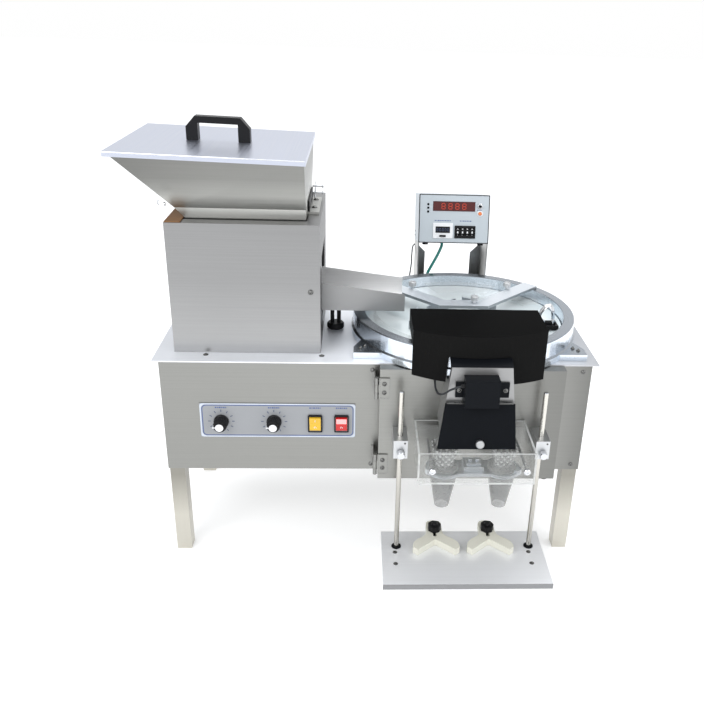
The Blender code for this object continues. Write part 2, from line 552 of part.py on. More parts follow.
def build_tray():
    tray = box(TRAY_X0, TRAY_X1, TRAY_Y0, TRAY_Y1, TRAY_LOW, TRAY_TOP)
    tray = cut(tray, box(TRAY_X0 + 3, TRAY_X1 - 3, TRAY_Y0 + 3, TRAY_Y1 - 3, TRAY_LOW + 3, TRAY_TOP + 9))
    for x in NOZZLES.values():
        tray = cut(tray, cylinder(x, NOZZLE_Y, 23.2, TRAY_LOW - 5, TRAY_LOW + 9, 28))
    for x in (112, 180):
        tray = join(tray, box(x - 7, x + 7, TRAY_Y1 - 1, DOOR_FRONT - GAP, 236, 250))
    finish("acrylic_tray", tray, (0.85, 0.87, 0.85), rough=0.1)

    z0, z1 = TRAY_LOW + 3 + GAP, TRAY_LOW + 8.3
    plate = box(100, 190, NOZZLE_Y - 20, NOZZLE_Y + 20, z0, z1)
    for x in NOZZLES.values():
        plate = join(plate, cylinder(x, NOZZLE_Y, 28, z0, z1, 28))
    for x in (80, 210):
        plate = join(plate, cylinder(x, NOZZLE_Y - 8, 9, z0, z1 + 3, 16))
    plate = join(plate, box(130, 160, NOZZLE_Y - 14, NOZZLE_Y + 14, z0 + 1, z1 + 8))
    for x in NOZZLES.values():
        plate = cut(plate, cylinder(x, NOZZLE_Y, 22.6, z0 - 5, z1 + 9, 28))
    finish("nozzle_plate", plate, (0.45, 0.46, 0.48), metal=0.5, rough=0.4)

    for name, x in NOZZLES.items():
        skin = [(NOZZLE_TIP, 11.5, 2), (219, 22, 2), (230.5, 22, 2), (232, 13, 5), (266, 20, 5)]
        bore = [(NOZZLE_TIP - 2, 10, 2), (219, 20.4, 2), (228.5, 20.2, 2), (232, 11.4, 5), (268, 18.6, 5)]
        outer = loft([squircle(x, NOZZLE_Y, half, power, z) for z, half, power in skin])
        funnel = cut(outer, loft([squircle(x, NOZZLE_Y, half, power, z) for z, half, power in bore]))
        finish(name, funnel, (0.9, 0.92, 0.92), rough=0.15, smooth=True)

    for side, x in RODS.items():
        block = box(x - 11, x + 11, -65, DOOR_FRONT - GAP, 228, 259.5)
        block = cut(block, cylinder(x, ROD_Y, ROD_R + GAP, 220, 270, 20))
        finish("clamp_" + side, block, ALUMINIUM, metal=1.0, rough=0.35)
        pivot = (x + 0.5, -65 - GAP, 238)
        screw = lathe([(0, 0), (4, 0), (6.5, 1), (6.5, 8.5), (5.3, 10), (0, 10)], pivot, "-Y", 20)
        finish("clamp_screw_" + side, screw, STEEL, pivot=pivot, metal=1.0, rough=0.3, smooth=True)


def build_platform():
    plate = box(PLATE_X0, PLATE_X1, PLATE_Y0, PLATE_Y1, PLATE_TOP - PLATE_T, PLATE_TOP)
    for x in RODS.values():
        plate = cut(plate, cylinder(x, ROD_Y, ROD_R + GAP, 30, 60, 20))
        for y in (-62, -91):
            plate = cut(plate, cylinder(x - 2.5, y, 3, 30, 60, 12))
    finish("platform", plate, ALUMINIUM, metal=1.0, rough=0.35)

    for side, x in RODS.items():
        rod = cylinder(x, ROD_Y, ROD_R, PLATE_TOP - PLATE_T, ROD_TOP, 20)
        finish("rod_" + side, rod, STEEL, metal=1.0, rough=0.2, smooth=True)

    half = [(5, 8), (10, 6), (13, 1), (13, -22), (15, -30), (20, -36), (29, -42), (36, -50), (38.5, -58),
            (38.5, -64), (31, -71), (2, -45)]
    for side, x in LOCATORS.items():
        low = PLATE_TOP + GAP
        outline = [(x + a, b) for a, b in half] + [(x - a, b) for a, b in reversed(half)]
        wye = prism(outline, "Z", low, low + LOCATOR_T)
        wye = cut(wye, prism([(x - 2.9, -36), (x + 2.9, -36), (x + 2.9, -5), (x - 2.9, -5)], "Z", 40, 80))
        finish("locator_" + side, wye, (0.85, 0.86, 0.82), pivot=(x, STAR_Y, low), rough=0.5)
        low = PLATE_TOP + LOCATOR_T + 2 * GAP
        lobes = []
        for i in range(42):
            a = 2 * pi * i / 42
            lobes.append((x + (STAR_R - 1.1 * (1 - cos(7 * a)) / 2) * cos(a),
                          STAR_Y + (STAR_R - 1.1 * (1 - cos(7 * a)) / 2) * sin(a)))
        star = prism(lobes, "Z", low, low + 10)
        star = join(star, cylinder(x, STAR_Y, 2.4, PLATE_TOP + GAP, low + 2, 12))
        finish("star_knob_" + side, star, BLACK, pivot=(x, STAR_Y, low), rough=0.4)


# ---------------------------------------------------------------- counter on its stand
def build_counter():
    case = box(BOX_X0, BOX_X1, BOX_Y0, BOX_Y1, BOX_Z0, BOX_Z1)
    wheels_end = WHEEL_X0 + 4 * WHEEL_PITCH
    case = cut(case,
               box(BOX_X0 + 1.5, BOX_X1 - 1.5, BOX_Y0 + 2, BOX_Y1 + 9, BOX_Z0 + 1.5, BOX_Z1 - 1.5),
               box(106, 186.5, BOX_Y0 - 9, BOX_Y0 + 9, 517.3, 535.5),
               box(WHEEL_X0 - 0.7, wheels_end + 0.3, BOX_Y0 - 9, BOX_Y0 + 9, WHEEL_Z - 10.4, WHEEL_Z + 10.4),
               prism(circle(BUTTON_X, BUTTON_Z, 3.5, 16), "Y", BOX_Y0 - 9, BOX_Y0 + 9),
               prism(circle(BUTTON_X, TOGGLE_Z, 3.5, 16), "Y", BOX_Y0 - 9, BOX_Y0 + 9))
    case.data.transform(LEANED)
    finish("counter_box", case, (0.70, 0.74, 0.78), rough=0.4)

    window = box(106.3, 186.2, BOX_Y0 - 0.6, BOX_Y0 + 3, 517.6, 535.2)
    window.data.transform(LEANED)
    finish("display_window", window, (0.10, 0.01, 0.02), rough=0.15)

    for i in range(4):
        x = WHEEL_X0 + WHEEL_PITCH * i
        pivot = LEANED @ Vector((x, WHEEL_Y, WHEEL_Z))
        wheel = lathe([(0, 0), (WHEEL_R, 0), (WHEEL_R, WHEEL_PITCH - 0.6), (0, WHEEL_PITCH - 0.6)],
                      pivot, "X", 20)
        finish("preset_wheel_%d" % (i + 1), wheel, BLACK, pivot=pivot, rough=0.5)

    pivot = Vector((BUTTON_X, BOX_Y0 + 4, BUTTON_Z))
    button = lathe([(0, 0), (3.2, 0), (3.2, 7.5), (2.4, 8.5), (0, 8.5)], pivot, "-Y", 16)
    button.data.transform(LEANED)
    pivot = LEANED @ pivot
    finish("reset_button", button, (0.8, 0.15, 0.1), pivot=pivot, rough=0.3, smooth=True)

    pivot = Vector((BUTTON_X, BOX_Y0 + 1, TOGGLE_Z))
    lever = lathe([(0, 0), (1.2, 0), (1.3, 8), (2.1, 14), (0, 15.5)], (0, 0, 0), "-Y", 14)
    lever.data.transform(LEANED @ Matrix.Translation(pivot) @ Matrix.Rotation(radians(-12), 4, "X"))
    pivot = LEANED @ pivot
    finish("toggle_lever", lever, (0.8, 0.8, 0.8), pivot=pivot, metal=1.0, rough=0.2, smooth=True)

    back = CAB_BACK + 0.5
    stand = box(72, 222, back, 434, 340, 343)
    stand = join(stand, box(72, 222, back, back + 3, 300, 343))
    front, rear = BOX_Y0 + 3, 430
    drop = tan(LEAN)
    top = BOX_Z0 - GAP * 1.1
    cheek = [(front, 341), (rear, 341), (rear, top - (rear - BOX_Y0) * drop),
             (front, top - (front - BOX_Y0) * drop)]
    for x0, x1, inward in ((BOX_X0, BOX_X0 + 2, 1), (BOX_X1 - 2, BOX_X1, -1)):
        stand = join(stand, prism(cheek, "X", x0, x1))
        edge = x0 if inward > 0 else x1
        tip = edge + 21 * inward
        gusset = [(edge, 341), (tip, 341), (tip, 413), (edge, 434)]
        stand = join(stand, prism(gusset, "Y", 427.5, 429.5))
    finish("counter_stand", stand, STEEL, metal=1.0, rough=0.3)

    green = [(127, 362, 451.6), (127, 361, 445), (119, 353, 429), (108, 348, 409), (100, 346, 392),
             (97, 344, 372), (97, 337, 357), (97, 320, 351.5), (97, 300, 350.5), (97, 284, 350.5)]
    finish("counter_cable", tube(green, 2.8, 10), (0.05, 0.35, 0.30), rough=0.5, smooth=True)

    grey = [(88, 437, 436.0), (87, 437, 430), (77, 435, 423), (73, 406, 413), (70, 368, 406),
            (66, 345, 390), (62, 332, 372), (60, 322, 356), (60, 305, 350), (60, 284, 349)]
    finish("signal_cable", tube(grey, 1.3, 8), (0.12, 0.12, 0.13), rough=0.6, smooth=True)


def main():
    for obj in list(bpy.data.objects):
        bpy.data.objects.remove(obj, do_unlink=True)
    build_cabinet()
    build_panel()
    build_feeder()
    build_trough()
    build_turntable()
    build_door()
    build_chute()
    build_hood()
    build_tray()
    build_platform()
    build_counter()


main()
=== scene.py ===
"""Studio scene of the bench-top capsule and tablet counter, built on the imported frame."""

from math import cos, pi, radians, sin

import bmesh
import bpy
from mathutils import Matrix, Vector

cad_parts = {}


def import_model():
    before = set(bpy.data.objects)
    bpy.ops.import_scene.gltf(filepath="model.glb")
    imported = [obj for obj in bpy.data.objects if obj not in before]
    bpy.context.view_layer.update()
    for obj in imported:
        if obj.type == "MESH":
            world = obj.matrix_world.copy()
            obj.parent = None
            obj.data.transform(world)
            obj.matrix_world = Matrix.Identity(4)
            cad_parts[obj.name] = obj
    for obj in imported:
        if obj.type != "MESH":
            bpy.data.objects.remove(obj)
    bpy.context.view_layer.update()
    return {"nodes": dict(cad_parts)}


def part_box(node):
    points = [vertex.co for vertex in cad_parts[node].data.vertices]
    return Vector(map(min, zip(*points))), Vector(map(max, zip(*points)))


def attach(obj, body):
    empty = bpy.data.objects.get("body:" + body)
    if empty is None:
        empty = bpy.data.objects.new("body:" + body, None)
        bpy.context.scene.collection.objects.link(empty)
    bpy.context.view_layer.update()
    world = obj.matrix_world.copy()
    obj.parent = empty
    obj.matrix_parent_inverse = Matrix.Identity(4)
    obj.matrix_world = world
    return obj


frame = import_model()
NODES = frame["nodes"]

# Sizes below are millimetres in the machine's own frame: X from the middle of the deck,
# Y back from the deck's front edge, Z up from the floor.
DECK_LO, DECK_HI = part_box("deck_plate")
ORIGIN = Vector(((DECK_LO.x + DECK_HI.x) / 2, DECK_LO.y, 0.0))


def world(point):
    return ORIGIN + Vector(point) * 0.001


def local(point):
    return (Vector(point) - ORIGIN) * 1000.0


def span(node):
    """Lowest and highest corner of a CAD node in machine millimetres."""
    lo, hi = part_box(node)
    return local(lo), local(hi)


PANEL_FACE = span("control_panel")[0].y + 3.0
ROCKER_PIVOT_Y = PANEL_FACE - 1.0


# ---------------------------------------------------------------- camera, light and floor
def build_camera():
    yaw, pitch, roll = -0.065, 0.417, 0.038
    ahead = Vector((-sin(yaw) * cos(pitch), cos(yaw) * cos(pitch), -sin(pitch)))
    right = Vector((cos(yaw), sin(yaw), 0.0))
    up = right.cross(ahead)
    turned_right = right * cos(roll) + up * sin(roll)
    turned_up = up * cos(roll) - right * sin(roll)
    data = bpy.data.cameras.new("camera")
    data.lens = 40.57
    data.sensor_width = 36.0
    data.shift_x = -0.0737
    data.shift_y = -0.0033
    camera = bpy.data.objects.new("camera", data)
    matrix = Matrix((turned_right, turned_up, -ahead)).transposed().to_4x4()
    matrix.translation = world((-35.0, -1121.3, 883.1))
    camera.matrix_world = matrix
    bpy.context.scene.collection.objects.link(camera)
    bpy.context.scene.camera = camera


def area_light(name, place, target, size, energy, colour=(1.0, 1.0, 1.0)):
    data = bpy.data.lights.new(name, "AREA")
    data.shape = "RECTANGLE"
    data.size, data.size_y = size
    data.energy = energy
    data.color = colour
    light = bpy.data.objects.new(name, data)
    light.location = place
    light.rotation_euler = (Vector(target) - Vector(place)).to_track_quat("-Z", "Y").to_euler()
    bpy.context.scene.collection.objects.link(light)


def build_studio():
    scene = bpy.context.scene
    scene.view_settings.view_transform = "Standard"
    room = bpy.data.worlds.new("room")
    scene.world = room
    room.use_nodes = True
    nodes, links = room.node_tree.nodes, room.node_tree.links
    where = nodes.new("ShaderNodeTexCoord")
    split = nodes.new("ShaderNodeSeparateXYZ")
    ramp = nodes.new("ShaderNodeValToRGB")
    reach = nodes.new("ShaderNodeMapRange")
    reach.inputs["From Min"].default_value = -1.0
    links.new(where.outputs["Generated"], split.inputs[0])
    links.new(split.outputs["Z"], reach.inputs["Value"])
    links.new(reach.outputs[0], ramp.inputs[0])
    ramp.color_ramp.elements[0].color = (0.9, 0.9, 0.9, 1)
    ramp.color_ramp.elements[1].color = (0.93, 0.96, 1.0, 1)
    middle = ramp.color_ramp.elements.new(0.49)
    middle.color = (1.0, 1.0, 1.0, 1)
    links.new(ramp.outputs[0], nodes["Background"].inputs[0])
    nodes["Background"].inputs[1].default_value = 1.0

    area_light("key", (-1.3, -1.9, 2.0), (0.0, 0.0, 0.35), (1.6, 1.2), 26)
    area_light("fill", (1.7, -1.2, 1.3), (0.1, 0.0, 0.3), (1.0, 1.4), 9)
    area_light("top", (0.2, 0.6, 2.3), (0.0, 0.0, 0.3), (1.6, 1.2), 14)

    grid = bmesh.new()
    bmesh.ops.create_grid(grid, x_segments=1, y_segments=1, size=14.0)
    mesh = bpy.data.meshes.new("floor")
    grid.to_mesh(mesh)
    grid.free()
    floor = bpy.data.objects.new("floor", mesh)
    bpy.context.scene.collection.objects.link(floor)
    paper = principled("floor_paper", (0.9, 0.9, 0.9), rough=1.0, Specular_IOR_Level=0.0,
                       Emission_Color=(1.0, 1.0, 1.0), Emission_Strength=0.3)
    grain(paper, scale=(3, 3, 3), tint=0.01, bump=0.0)
    mesh.materials.append(paper)


# ---------------------------------------------------------------- materials
def principled(name, colour, metal=0.0, rough=0.4, **sockets):
    material = bpy.data.materials.new(name)
    material.use_nodes = True
    shader = material.node_tree.nodes["Principled BSDF"]
    shader.inputs["Base Color"].default_value = (*colour, 1.0)
    shader.inputs["Metallic"].default_value = metal
    shader.inputs["Roughness"].default_value = rough
    for key, value in sockets.items():
        socket = shader.inputs[key.replace("_", " ")]
        socket.default_value = (*value, 1.0) if isinstance(value, tuple) else value
    material.diffuse_color = (*colour, 1.0)
    return material


def noise(tree, scale, detail=4.0, roughness=0.55):
    """Noise in object space, stretched by a scale for each axis."""
    where = tree.nodes.new("ShaderNodeTexCoord")
    mapping = tree.nodes.new("ShaderNodeMapping")
    mapping.inputs["Scale"].default_value = scale
    texture = tree.nodes.new("ShaderNodeTexNoise")
    texture.inputs["Scale"].default_value = 1.0
    texture.inputs["Detail"].default_value = detail
    texture.inputs["Roughness"].default_value = roughness
    tree.links.new(where.outputs["Object"], mapping.inputs["Vector"])
    tree.links.new(mapping.outputs["Vector"], texture.inputs["Vector"])
    return texture.outputs[0]


def spread(tree, value, low, high, start=0.3, stop=0.7):
    node = tree.nodes.new("ShaderNodeMapRange")
    node.inputs["From Min"].default_value = start
    node.inputs["From Max"].default_value = stop
    node.inputs["To Min"].default_value = low
    node.inputs["To Max"].default_value = high
    tree.links.new(value, node.inputs["Value"])
    return node.outputs[0]


def mixed(tree, factor, first, second):
    node = tree.nodes.new("ShaderNodeMix")
    node.data_type = "RGBA"
    node.inputs[6].default_value = (*first, 1.0)
    node.inputs[7].default_value = (*second, 1.0)
    tree.links.new(factor, node.inputs[0])
    return node.outputs[2]


def add_bump(tree, height, strength, distance):
    node = tree.nodes.new("ShaderNodeBump")
    node.inputs["Strength"].default_value = strength
    node.inputs["Distance"].default_value = distance
    tree.links.new(height, node.inputs["Height"])
    tree.links.new(node.outputs[0], tree.nodes["Principled BSDF"].inputs["Normal"])


def grain(material, scale, tint=0.06, bump=0.1, rough=0.06, distance=0.0002, detail=4.0, cloud=5.0):
    """Colour, roughness and height variation: fine grain times a slow cloud."""
    tree = material.node_tree
    shader = tree.nodes["Principled BSDF"]
    base = list(shader.inputs["Base Color"].default_value)[:3]
    gloss = shader.inputs["Roughness"].default_value
    fine = noise(tree, scale, detail)
    slow = noise(tree, (cloud, cloud, cloud), 2.0)
    blend = tree.nodes.new("ShaderNodeMath")
    blend.operation = "MULTIPLY_ADD"
    blend.inputs[1].default_value = 0.45
    tree.links.new(slow, blend.inputs[0])
    weight = spread(tree, fine, 0.0, 0.55)
    tree.links.new(weight, blend.inputs[2])
    dark = [c * (1 - tint) for c in base]
    light = [min(1.0, c * (1 + tint)) for c in base]
    tree.links.new(mixed(tree, blend.outputs[0], dark, light), shader.inputs["Base Color"])
    tree.links.new(spread(tree, fine, max(0.02, gloss - rough), gloss + rough),
                   shader.inputs["Roughness"])
    if bump:
        add_bump(tree, fine, bump, distance)
    return material


def painted_light_and_shade_along(material, axis, stops):
    """Painted light and shade: scale the base colour along one axis between stops of (machine mm,
    factor).
    """
    tree = material.node_tree
    base = tree.nodes["Principled BSDF"].inputs["Base Color"]
    source = base.links[0].from_socket
    where = tree.nodes.new("ShaderNodeTexCoord")
    split = tree.nodes.new("ShaderNodeSeparateXYZ")
    tree.links.new(where.outputs["Object"], split.inputs[0])
    index = "XYZ".index(axis)
    reach = tree.nodes.new("ShaderNodeMapRange")
    start, stop = stops[0][0], stops[-1][0]
    reach.inputs["From Min"].default_value = ORIGIN[index] + start * 0.001
    reach.inputs["From Max"].default_value = ORIGIN[index] + stop * 0.001
    tree.links.new(split.outputs[axis], reach.inputs["Value"])
    ramp = tree.nodes.new("ShaderNodeValToRGB")
    elements = ramp.color_ramp.elements
    while len(elements) < len(stops):
        elements.new(0.5)
    for element, (place, factor) in zip(elements, stops):
        element.position = (place - start) / (stop - start)
        element.color = (factor / 2, factor / 2, factor / 2, 1.0)
    tree.links.new(reach.outputs[0], ramp.inputs[0])
    double = tree.nodes.new("ShaderNodeVectorMath")
    double.operation = "SCALE"
    double.inputs["Scale"].default_value = 2.0
    tree.links.new(ramp.outputs[0], double.inputs[0])
    product = tree.nodes.new("ShaderNodeVectorMath")
    product.operation = "MULTIPLY"
    tree.links.new(source, product.inputs[0])
    tree.links.new(double.outputs[0], product.inputs[1])
    tree.links.new(product.outputs[0], base)
    return material


def painted_shade_facing(material, direction, factor, limit=0.6):
    """Painted shade: scale the base colour on the faces that look along one world direction."""
    tree = material.node_tree
    base = tree.nodes["Principled BSDF"].inputs["Base Color"]
    source = base.links[0].from_socket
    normal = tree.nodes.new("ShaderNodeNewGeometry")
    toward = tree.nodes.new("ShaderNodeVectorMath")
    toward.operation = "DOT_PRODUCT"
    toward.inputs[1].default_value = direction
    tree.links.new(normal.outputs["True Normal"], toward.inputs[0])
    amount = spread(tree, toward.outputs["Value"], 1.0, factor, limit - 0.1, limit + 0.1)
    product = tree.nodes.new("ShaderNodeVectorMath")
    product.operation = "SCALE"
    tree.links.new(source, product.inputs[0])
    tree.links.new(amount, product.inputs["Scale"])
    tree.links.new(product.outputs[0], base)
    return material


def brushed(name, colour, along="X", rough=0.33, tint=0.07, bump=0.12, metal=1.0):
    """Steel sheet with fine lines along one axis."""
    line = {"X": (4, 430, 430), "Y": (430, 4, 430), "Z": (430, 430, 4)}[along]
    return grain(principled(name, colour, metal, rough), line, tint, bump, 0.05, 0.0001)


def machined(name, colour, rough=0.3, tint=0.06, bump=0.15, scale=420):
    return grain(principled(name, colour, 1.0, rough), (scale, scale, scale), tint, bump, 0.08, 0.0002)


def moulded(name, colour, rough=0.4, tint=0.15, bump=0.12, **sockets):
    return grain(principled(name, colour, 0.0, rough, **sockets), (900, 900, 900), tint, bump, 0.06,
                 0.0002)


def clear(name, colour, alpha, rough=0.06):
    """Clear plastic sheet: mostly see-through, a little milky, with faint smears."""
    made = principled(name, colour, 0.0, rough, Alpha=alpha)
    tree = made.node_tree
    smear = noise(tree, (60, 60, 60), 3.0)
    tree.links.new(spread(tree, smear, alpha * 0.75, alpha * 1.25),
                   tree.nodes["Principled BSDF"].inputs["Alpha"])
    tree.links.new(spread(tree, smear, rough * 0.6, rough * 1.8),
                   tree.nodes["Principled BSDF"].inputs["Roughness"])
    return grain(made, (60, 60, 60), 0.05, 0.0, 0.01)


def glowing(name, colour, strength):
    made = principled(name, colour, 0.0, 0.3, Emission_Color=colour, Emission_Strength=strength)
    return grain(made, (500, 500, 500), 0.12, 0.0)


def dimpled(material):
    """Pressed diamond pattern on the upper cups of the funnels."""
    tree = material.node_tree
    heights = []
    for turn in (35, -35):
        where = tree.nodes.new("ShaderNodeTexCoord")
        mapping = tree.nodes.new("ShaderNodeMapping")
        mapping.inputs["Rotation"].default_value = (0, radians(turn), radians(turn))
        wave = tree.nodes.new("ShaderNodeTexWave")
        wave.inputs["Scale"].default_value = 50.0
        tree.links.new(where.outputs["Object"], mapping.inputs["Vector"])
        tree.links.new(mapping.outputs["Vector"], wave.inputs["Vector"])
        heights.append(wave.outputs["Fac"])
    both = tree.nodes.new("ShaderNodeMath")
    both.operation = "MULTIPLY"
    tree.links.new(heights[0], both.inputs[0])
    tree.links.new(heights[1], both.inputs[1])
    split = tree.nodes.new("ShaderNodeSeparateXYZ")
    tree.links.new(where.outputs["Object"], split.inputs[0])
    above = tree.nodes.new("ShaderNodeMath")
    above.operation = "GREATER_THAN"
    above.inputs[1].default_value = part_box("nozzle_plate")[1].z
    tree.links.new(split.outputs["Z"], above.inputs[0])
    masked = tree.nodes.new("ShaderNodeMath")
    masked.operation = "MULTIPLY"
    tree.links.new(both.outputs[0], masked.inputs[0])
    tree.links.new(above.outputs[0], masked.inputs[1])
    add_bump(tree, masked.outputs[0], 0.8, 0.0012)
    shade = tree.nodes.new("ShaderNodeMapRange")
    shade.inputs["To Min"].default_value = 1.0
    shade.inputs["To Max"].default_value = 3.0
    tree.links.new(masked.outputs[0], shade.inputs["Value"])
    base = tree.nodes["Principled BSDF"].inputs["Base Color"]
    product = tree.nodes.new("ShaderNodeVectorMath")
    product.operation = "SCALE"
    tree.links.new(base.links[0].from_socket, product.inputs[0])
    tree.links.new(shade.outputs[0], product.inputs["Scale"])
    tree.links.new(product.outputs[0], base)
    return material


MAT = {
    # Cabinet front: painted shade, the base colour darkens towards the right-hand end.
    "front": painted_light_and_shade_along(brushed("steel_front", (0.30, 0.30, 0.285), "X", 0.38), "X",
                    ((-350, 0.93), (-120, 0.98), (60, 1.0), (300, 0.85), (340, 0.62))),
    # Door: painted shade, the base colour darkens towards the right edge.
    "door": painted_light_and_shade_along(brushed("steel_door", (0.285, 0.285, 0.27), "X", 0.34), "X",
                   ((0, 1.05), (60, 0.98), (150, 1.0), (215, 0.85), (290, 0.70))),
    "side": brushed("steel_upright", (0.33, 0.33, 0.32), "Z", 0.34),
    # Feeder housing: painted light low down and painted shade on its right-hand side.
    "housing": painted_shade_facing(painted_light_and_shade_along(brushed("steel_housing", (0.29, 0.29, 0.29), "X", 0.36, 0.08), "Z",
                            ((356, 1.3), (400, 1.18), (480, 1.0), (597, 0.98))), (1, 0, 0), 0.28),
    # Deck: painted shade, darker at both ends and most at the right.
    "deck": painted_light_and_shade_along(brushed("steel_deck", (0.90, 0.92, 0.96), "X", 0.46, 0.025, 0.06, 0.55), "X",
                   ((-350, 0.86), (-100, 1.0), (150, 1.0), (350, 0.5))),
    "lid": brushed("steel_lid", (0.56, 0.59, 0.68), "Y", 0.33, 0.02, 0.03),
    # Hopper: painted shade towards the left and a painted light band along its lowest edge.
    "hopper": painted_light_and_shade_along(painted_light_and_shade_along(brushed("steel_hopper", (0.30, 0.30, 0.285), "X", 0.36), "X",
                            ((-360, 0.60), (-250, 0.78), (-110, 0.88))), "Z",
                     ((600, 2.0), (613, 1.45), (635, 1.05), (665, 0.97))),
    # Trough, chute housing and vane: painted light and shade, darker at the front and up to twice as
    # bright towards the back.
    "trough": painted_light_and_shade_along(brushed("steel_trough", (0.48, 0.48, 0.48), "X", 0.48, 0.05), "Y",
                     ((96, 0.74), (102, 0.74), (108, 1.3), (190, 1.98))),
    # Legs: painted shade, darker towards the top.
    "leg": painted_light_and_shade_along(brushed("steel_leg", (0.56, 0.54, 0.48), "Z", 0.34, 0.04), "Z",
                  ((0, 1.0), (70, 1.0), (150, 0.5))),
    # Turntable ring: painted shade on its top faces and painted light towards both ends.
    "ring": painted_shade_facing(painted_light_and_shade_along(machined("ring_casting", (0.74, 0.80, 0.87), 0.24, 0.02, 0.03, 900), "X",
                         ((-40, 1.15), (60, 0.95), (240, 1.0), (330, 1.12))), (0, 0, 1), 0.44),
    # Bridge bar and other aluminium parts: painted shade on the faces that look forward.
    "bar": painted_shade_facing(machined("bar_aluminium", (0.78, 0.82, 0.86), 0.36, 0.03, 0.06), (0, -1, 0), 0.45),
    # Platform: painted shade on the faces that look forward.
    "plate": painted_shade_facing(brushed("platform_plate", (0.90, 0.91, 0.93), "X", 0.5, 0.035, 0.08, 0.5),
                   (0, -1, 0), 0.28),
    "block": machined("block_aluminium", (0.58, 0.59, 0.60), 0.38, 0.04, 0.08),
    "screw": machined("screw_steel", (0.17, 0.17, 0.165), 0.25, 0.1, 0.1, 600),
    "hinge": machined("hinge_steel", (0.27, 0.27, 0.26), 0.3, 0.08, 0.1, 600),
    # Rods: painted shade, darker towards the bottom.
    "rod": painted_light_and_shade_along(brushed("rod_steel", (0.66, 0.64, 0.59), "Z", 0.22, 0.05), "Z",
                  ((50, 0.62), (150, 0.7), (250, 0.95), (370, 1.0))),
    "chrome": machined("chrome", (0.62, 0.63, 0.65), 0.12, 0.04, 0.05),
    # Hood: painted shade on its top faces.
    "paint": painted_shade_facing(moulded("hood_paint", (0.009, 0.009, 0.009), 0.45, 0.3, 0.10,
                           Specular_IOR_Level=0.008), (0, 0, 1), 0.3),
    "black": moulded("black_plastic", (0.010, 0.010, 0.011), 0.38, 0.3, Specular_IOR_Level=0.18),
    "sensor": moulded("sensor_plastic", (0.006, 0.007, 0.009), 0.34, 0.3, Specular_IOR_Level=0.06),
    "grey": moulded("drive_paint", (0.055, 0.07, 0.07), 0.5, 0.2, 0.3),
    "belt": moulded("belt_rubber", (0.012, 0.012, 0.012), 0.8, 0.3, 0.4),
    "cream": moulded("cream_nylon", (0.72, 0.71, 0.62), 0.5, 0.03, 0.08),
    "acrylic": clear("clear_acrylic", (0.52, 0.53, 0.515), 0.11),
    "rim": clear("acrylic_edge", (0.62, 0.63, 0.62), 0.6),
    # Glass disc: painted shade, darker towards the back.
    "frost": painted_light_and_shade_along(moulded("disc_glass", (0.82, 0.89, 0.90), 0.12, 0.04, 0.03,
                            Specular_IOR_Level=0.7), "Y", ((0, 1.0), (130, 1.0), (290, 0.62))),
    "funnel": dimpled(clear("funnel_plastic", (0.27, 0.275, 0.27), 0.5, 0.12)),
    "label": moulded("label_plate", (0.285, 0.295, 0.31), 0.35, 0.04, 0.05),
    "blue": moulded("blue_print", (0.07, 0.11, 0.27), 0.4, 0.1, 0.0),
    "tick": moulded("tick_print", (0.05, 0.07, 0.14), 0.4, 0.1, 0.0),
    "white": moulded("white_print", (0.80, 0.81, 0.83), 0.4, 0.03, 0.03),
    "edge": moulded("label_edge", (0.55, 0.60, 0.68), 0.4, 0.03, 0.03),
    "yellow": moulded("rocker_yellow_plastic", (0.72, 0.44, 0.03), 0.22, 0.08, 0.0),
    "red": moulded("rocker_red_plastic", (0.55, 0.02, 0.02), 0.2, 0.08, 0.0),
    "lit": glowing("rocker_lamp", (1.0, 0.36, 0.36), 0.45),
    "case": moulded("case_paint", (0.48, 0.53, 0.57), 0.42, 0.03, 0.10),
    "glasswindow": moulded("display_filter", (0.075, 0.006, 0.006), 0.2, 0.2, 0.0),
    "digit": glowing("display_digit", (0.42, 0.035, 0.012), 0.35),
    "green": moulded("cable_green", (0.015, 0.20, 0.17), 0.4, 0.15, 0.1),
    "dark": moulded("cable_dark", (0.03, 0.032, 0.036), 0.5, 0.2, 0.1, Specular_IOR_Level=0.3),
    "brown": moulded("dust_board", (0.20, 0.095, 0.03), 0.6, 0.2, 0.3),
    "button": moulded("button_plastic", (0.80, 0.22, 0.07), 0.3, 0.1, 0.0),
}

FINISH = {
    "cabinet_shell": "front", "deck_plate": "deck", "leg_frame_left": "leg", "leg_frame_right": "leg",
    "control_panel": "label", "vibrator_knob": "black", "turntable_knob": "black",
    "rocker_yellow": "yellow", "rocker_red": "red", "feeder_housing": "housing", "hopper": "hopper",
    "hopper_lid": "lid", "lid_handle": "black", "feed_trough": "trough", "vibrator_unit": "grey",
    "trough_support": "black", "turntable_ring": "ring", "glass_disc": "frost", "disc_hub": "bar",
    "drive_bracket": "grey", "drive_motor": "grey", "motor_pulley": "bar", "drive_belt": "belt",
    "bridge_bar": "bar", "guide_plate": "acrylic", "door_panel": "door", "hinge_upper": "hinge",
    "hinge_lower": "hinge", "chute_housing": "trough", "sensor_box": "sensor", "sensor_cable": "dark",
    "chute_flap": "sensor", "diverter_vane": "trough", "discharge_hood": "paint",
    "acrylic_tray": "acrylic", "nozzle_plate": "bar", "funnel_left": "funnel",
    "funnel_right": "funnel", "clamp_left": "block", "clamp_right": "block",
    "clamp_screw_left": "chrome", "clamp_screw_right": "chrome", "platform": "plate",
    "rod_left": "rod", "rod_right": "rod", "locator_left": "cream", "locator_right": "cream",
    "star_knob_left": "black", "star_knob_right": "black", "counter_box": "case",
    "display_window": "glasswindow", "preset_wheel_1": "black", "preset_wheel_2": "black",
    "preset_wheel_3": "black", "preset_wheel_4": "black", "reset_button": "button",
    "toggle_lever": "chrome", "counter_stand": "side", "counter_cable": "green",
    "signal_cable": "dark",
}
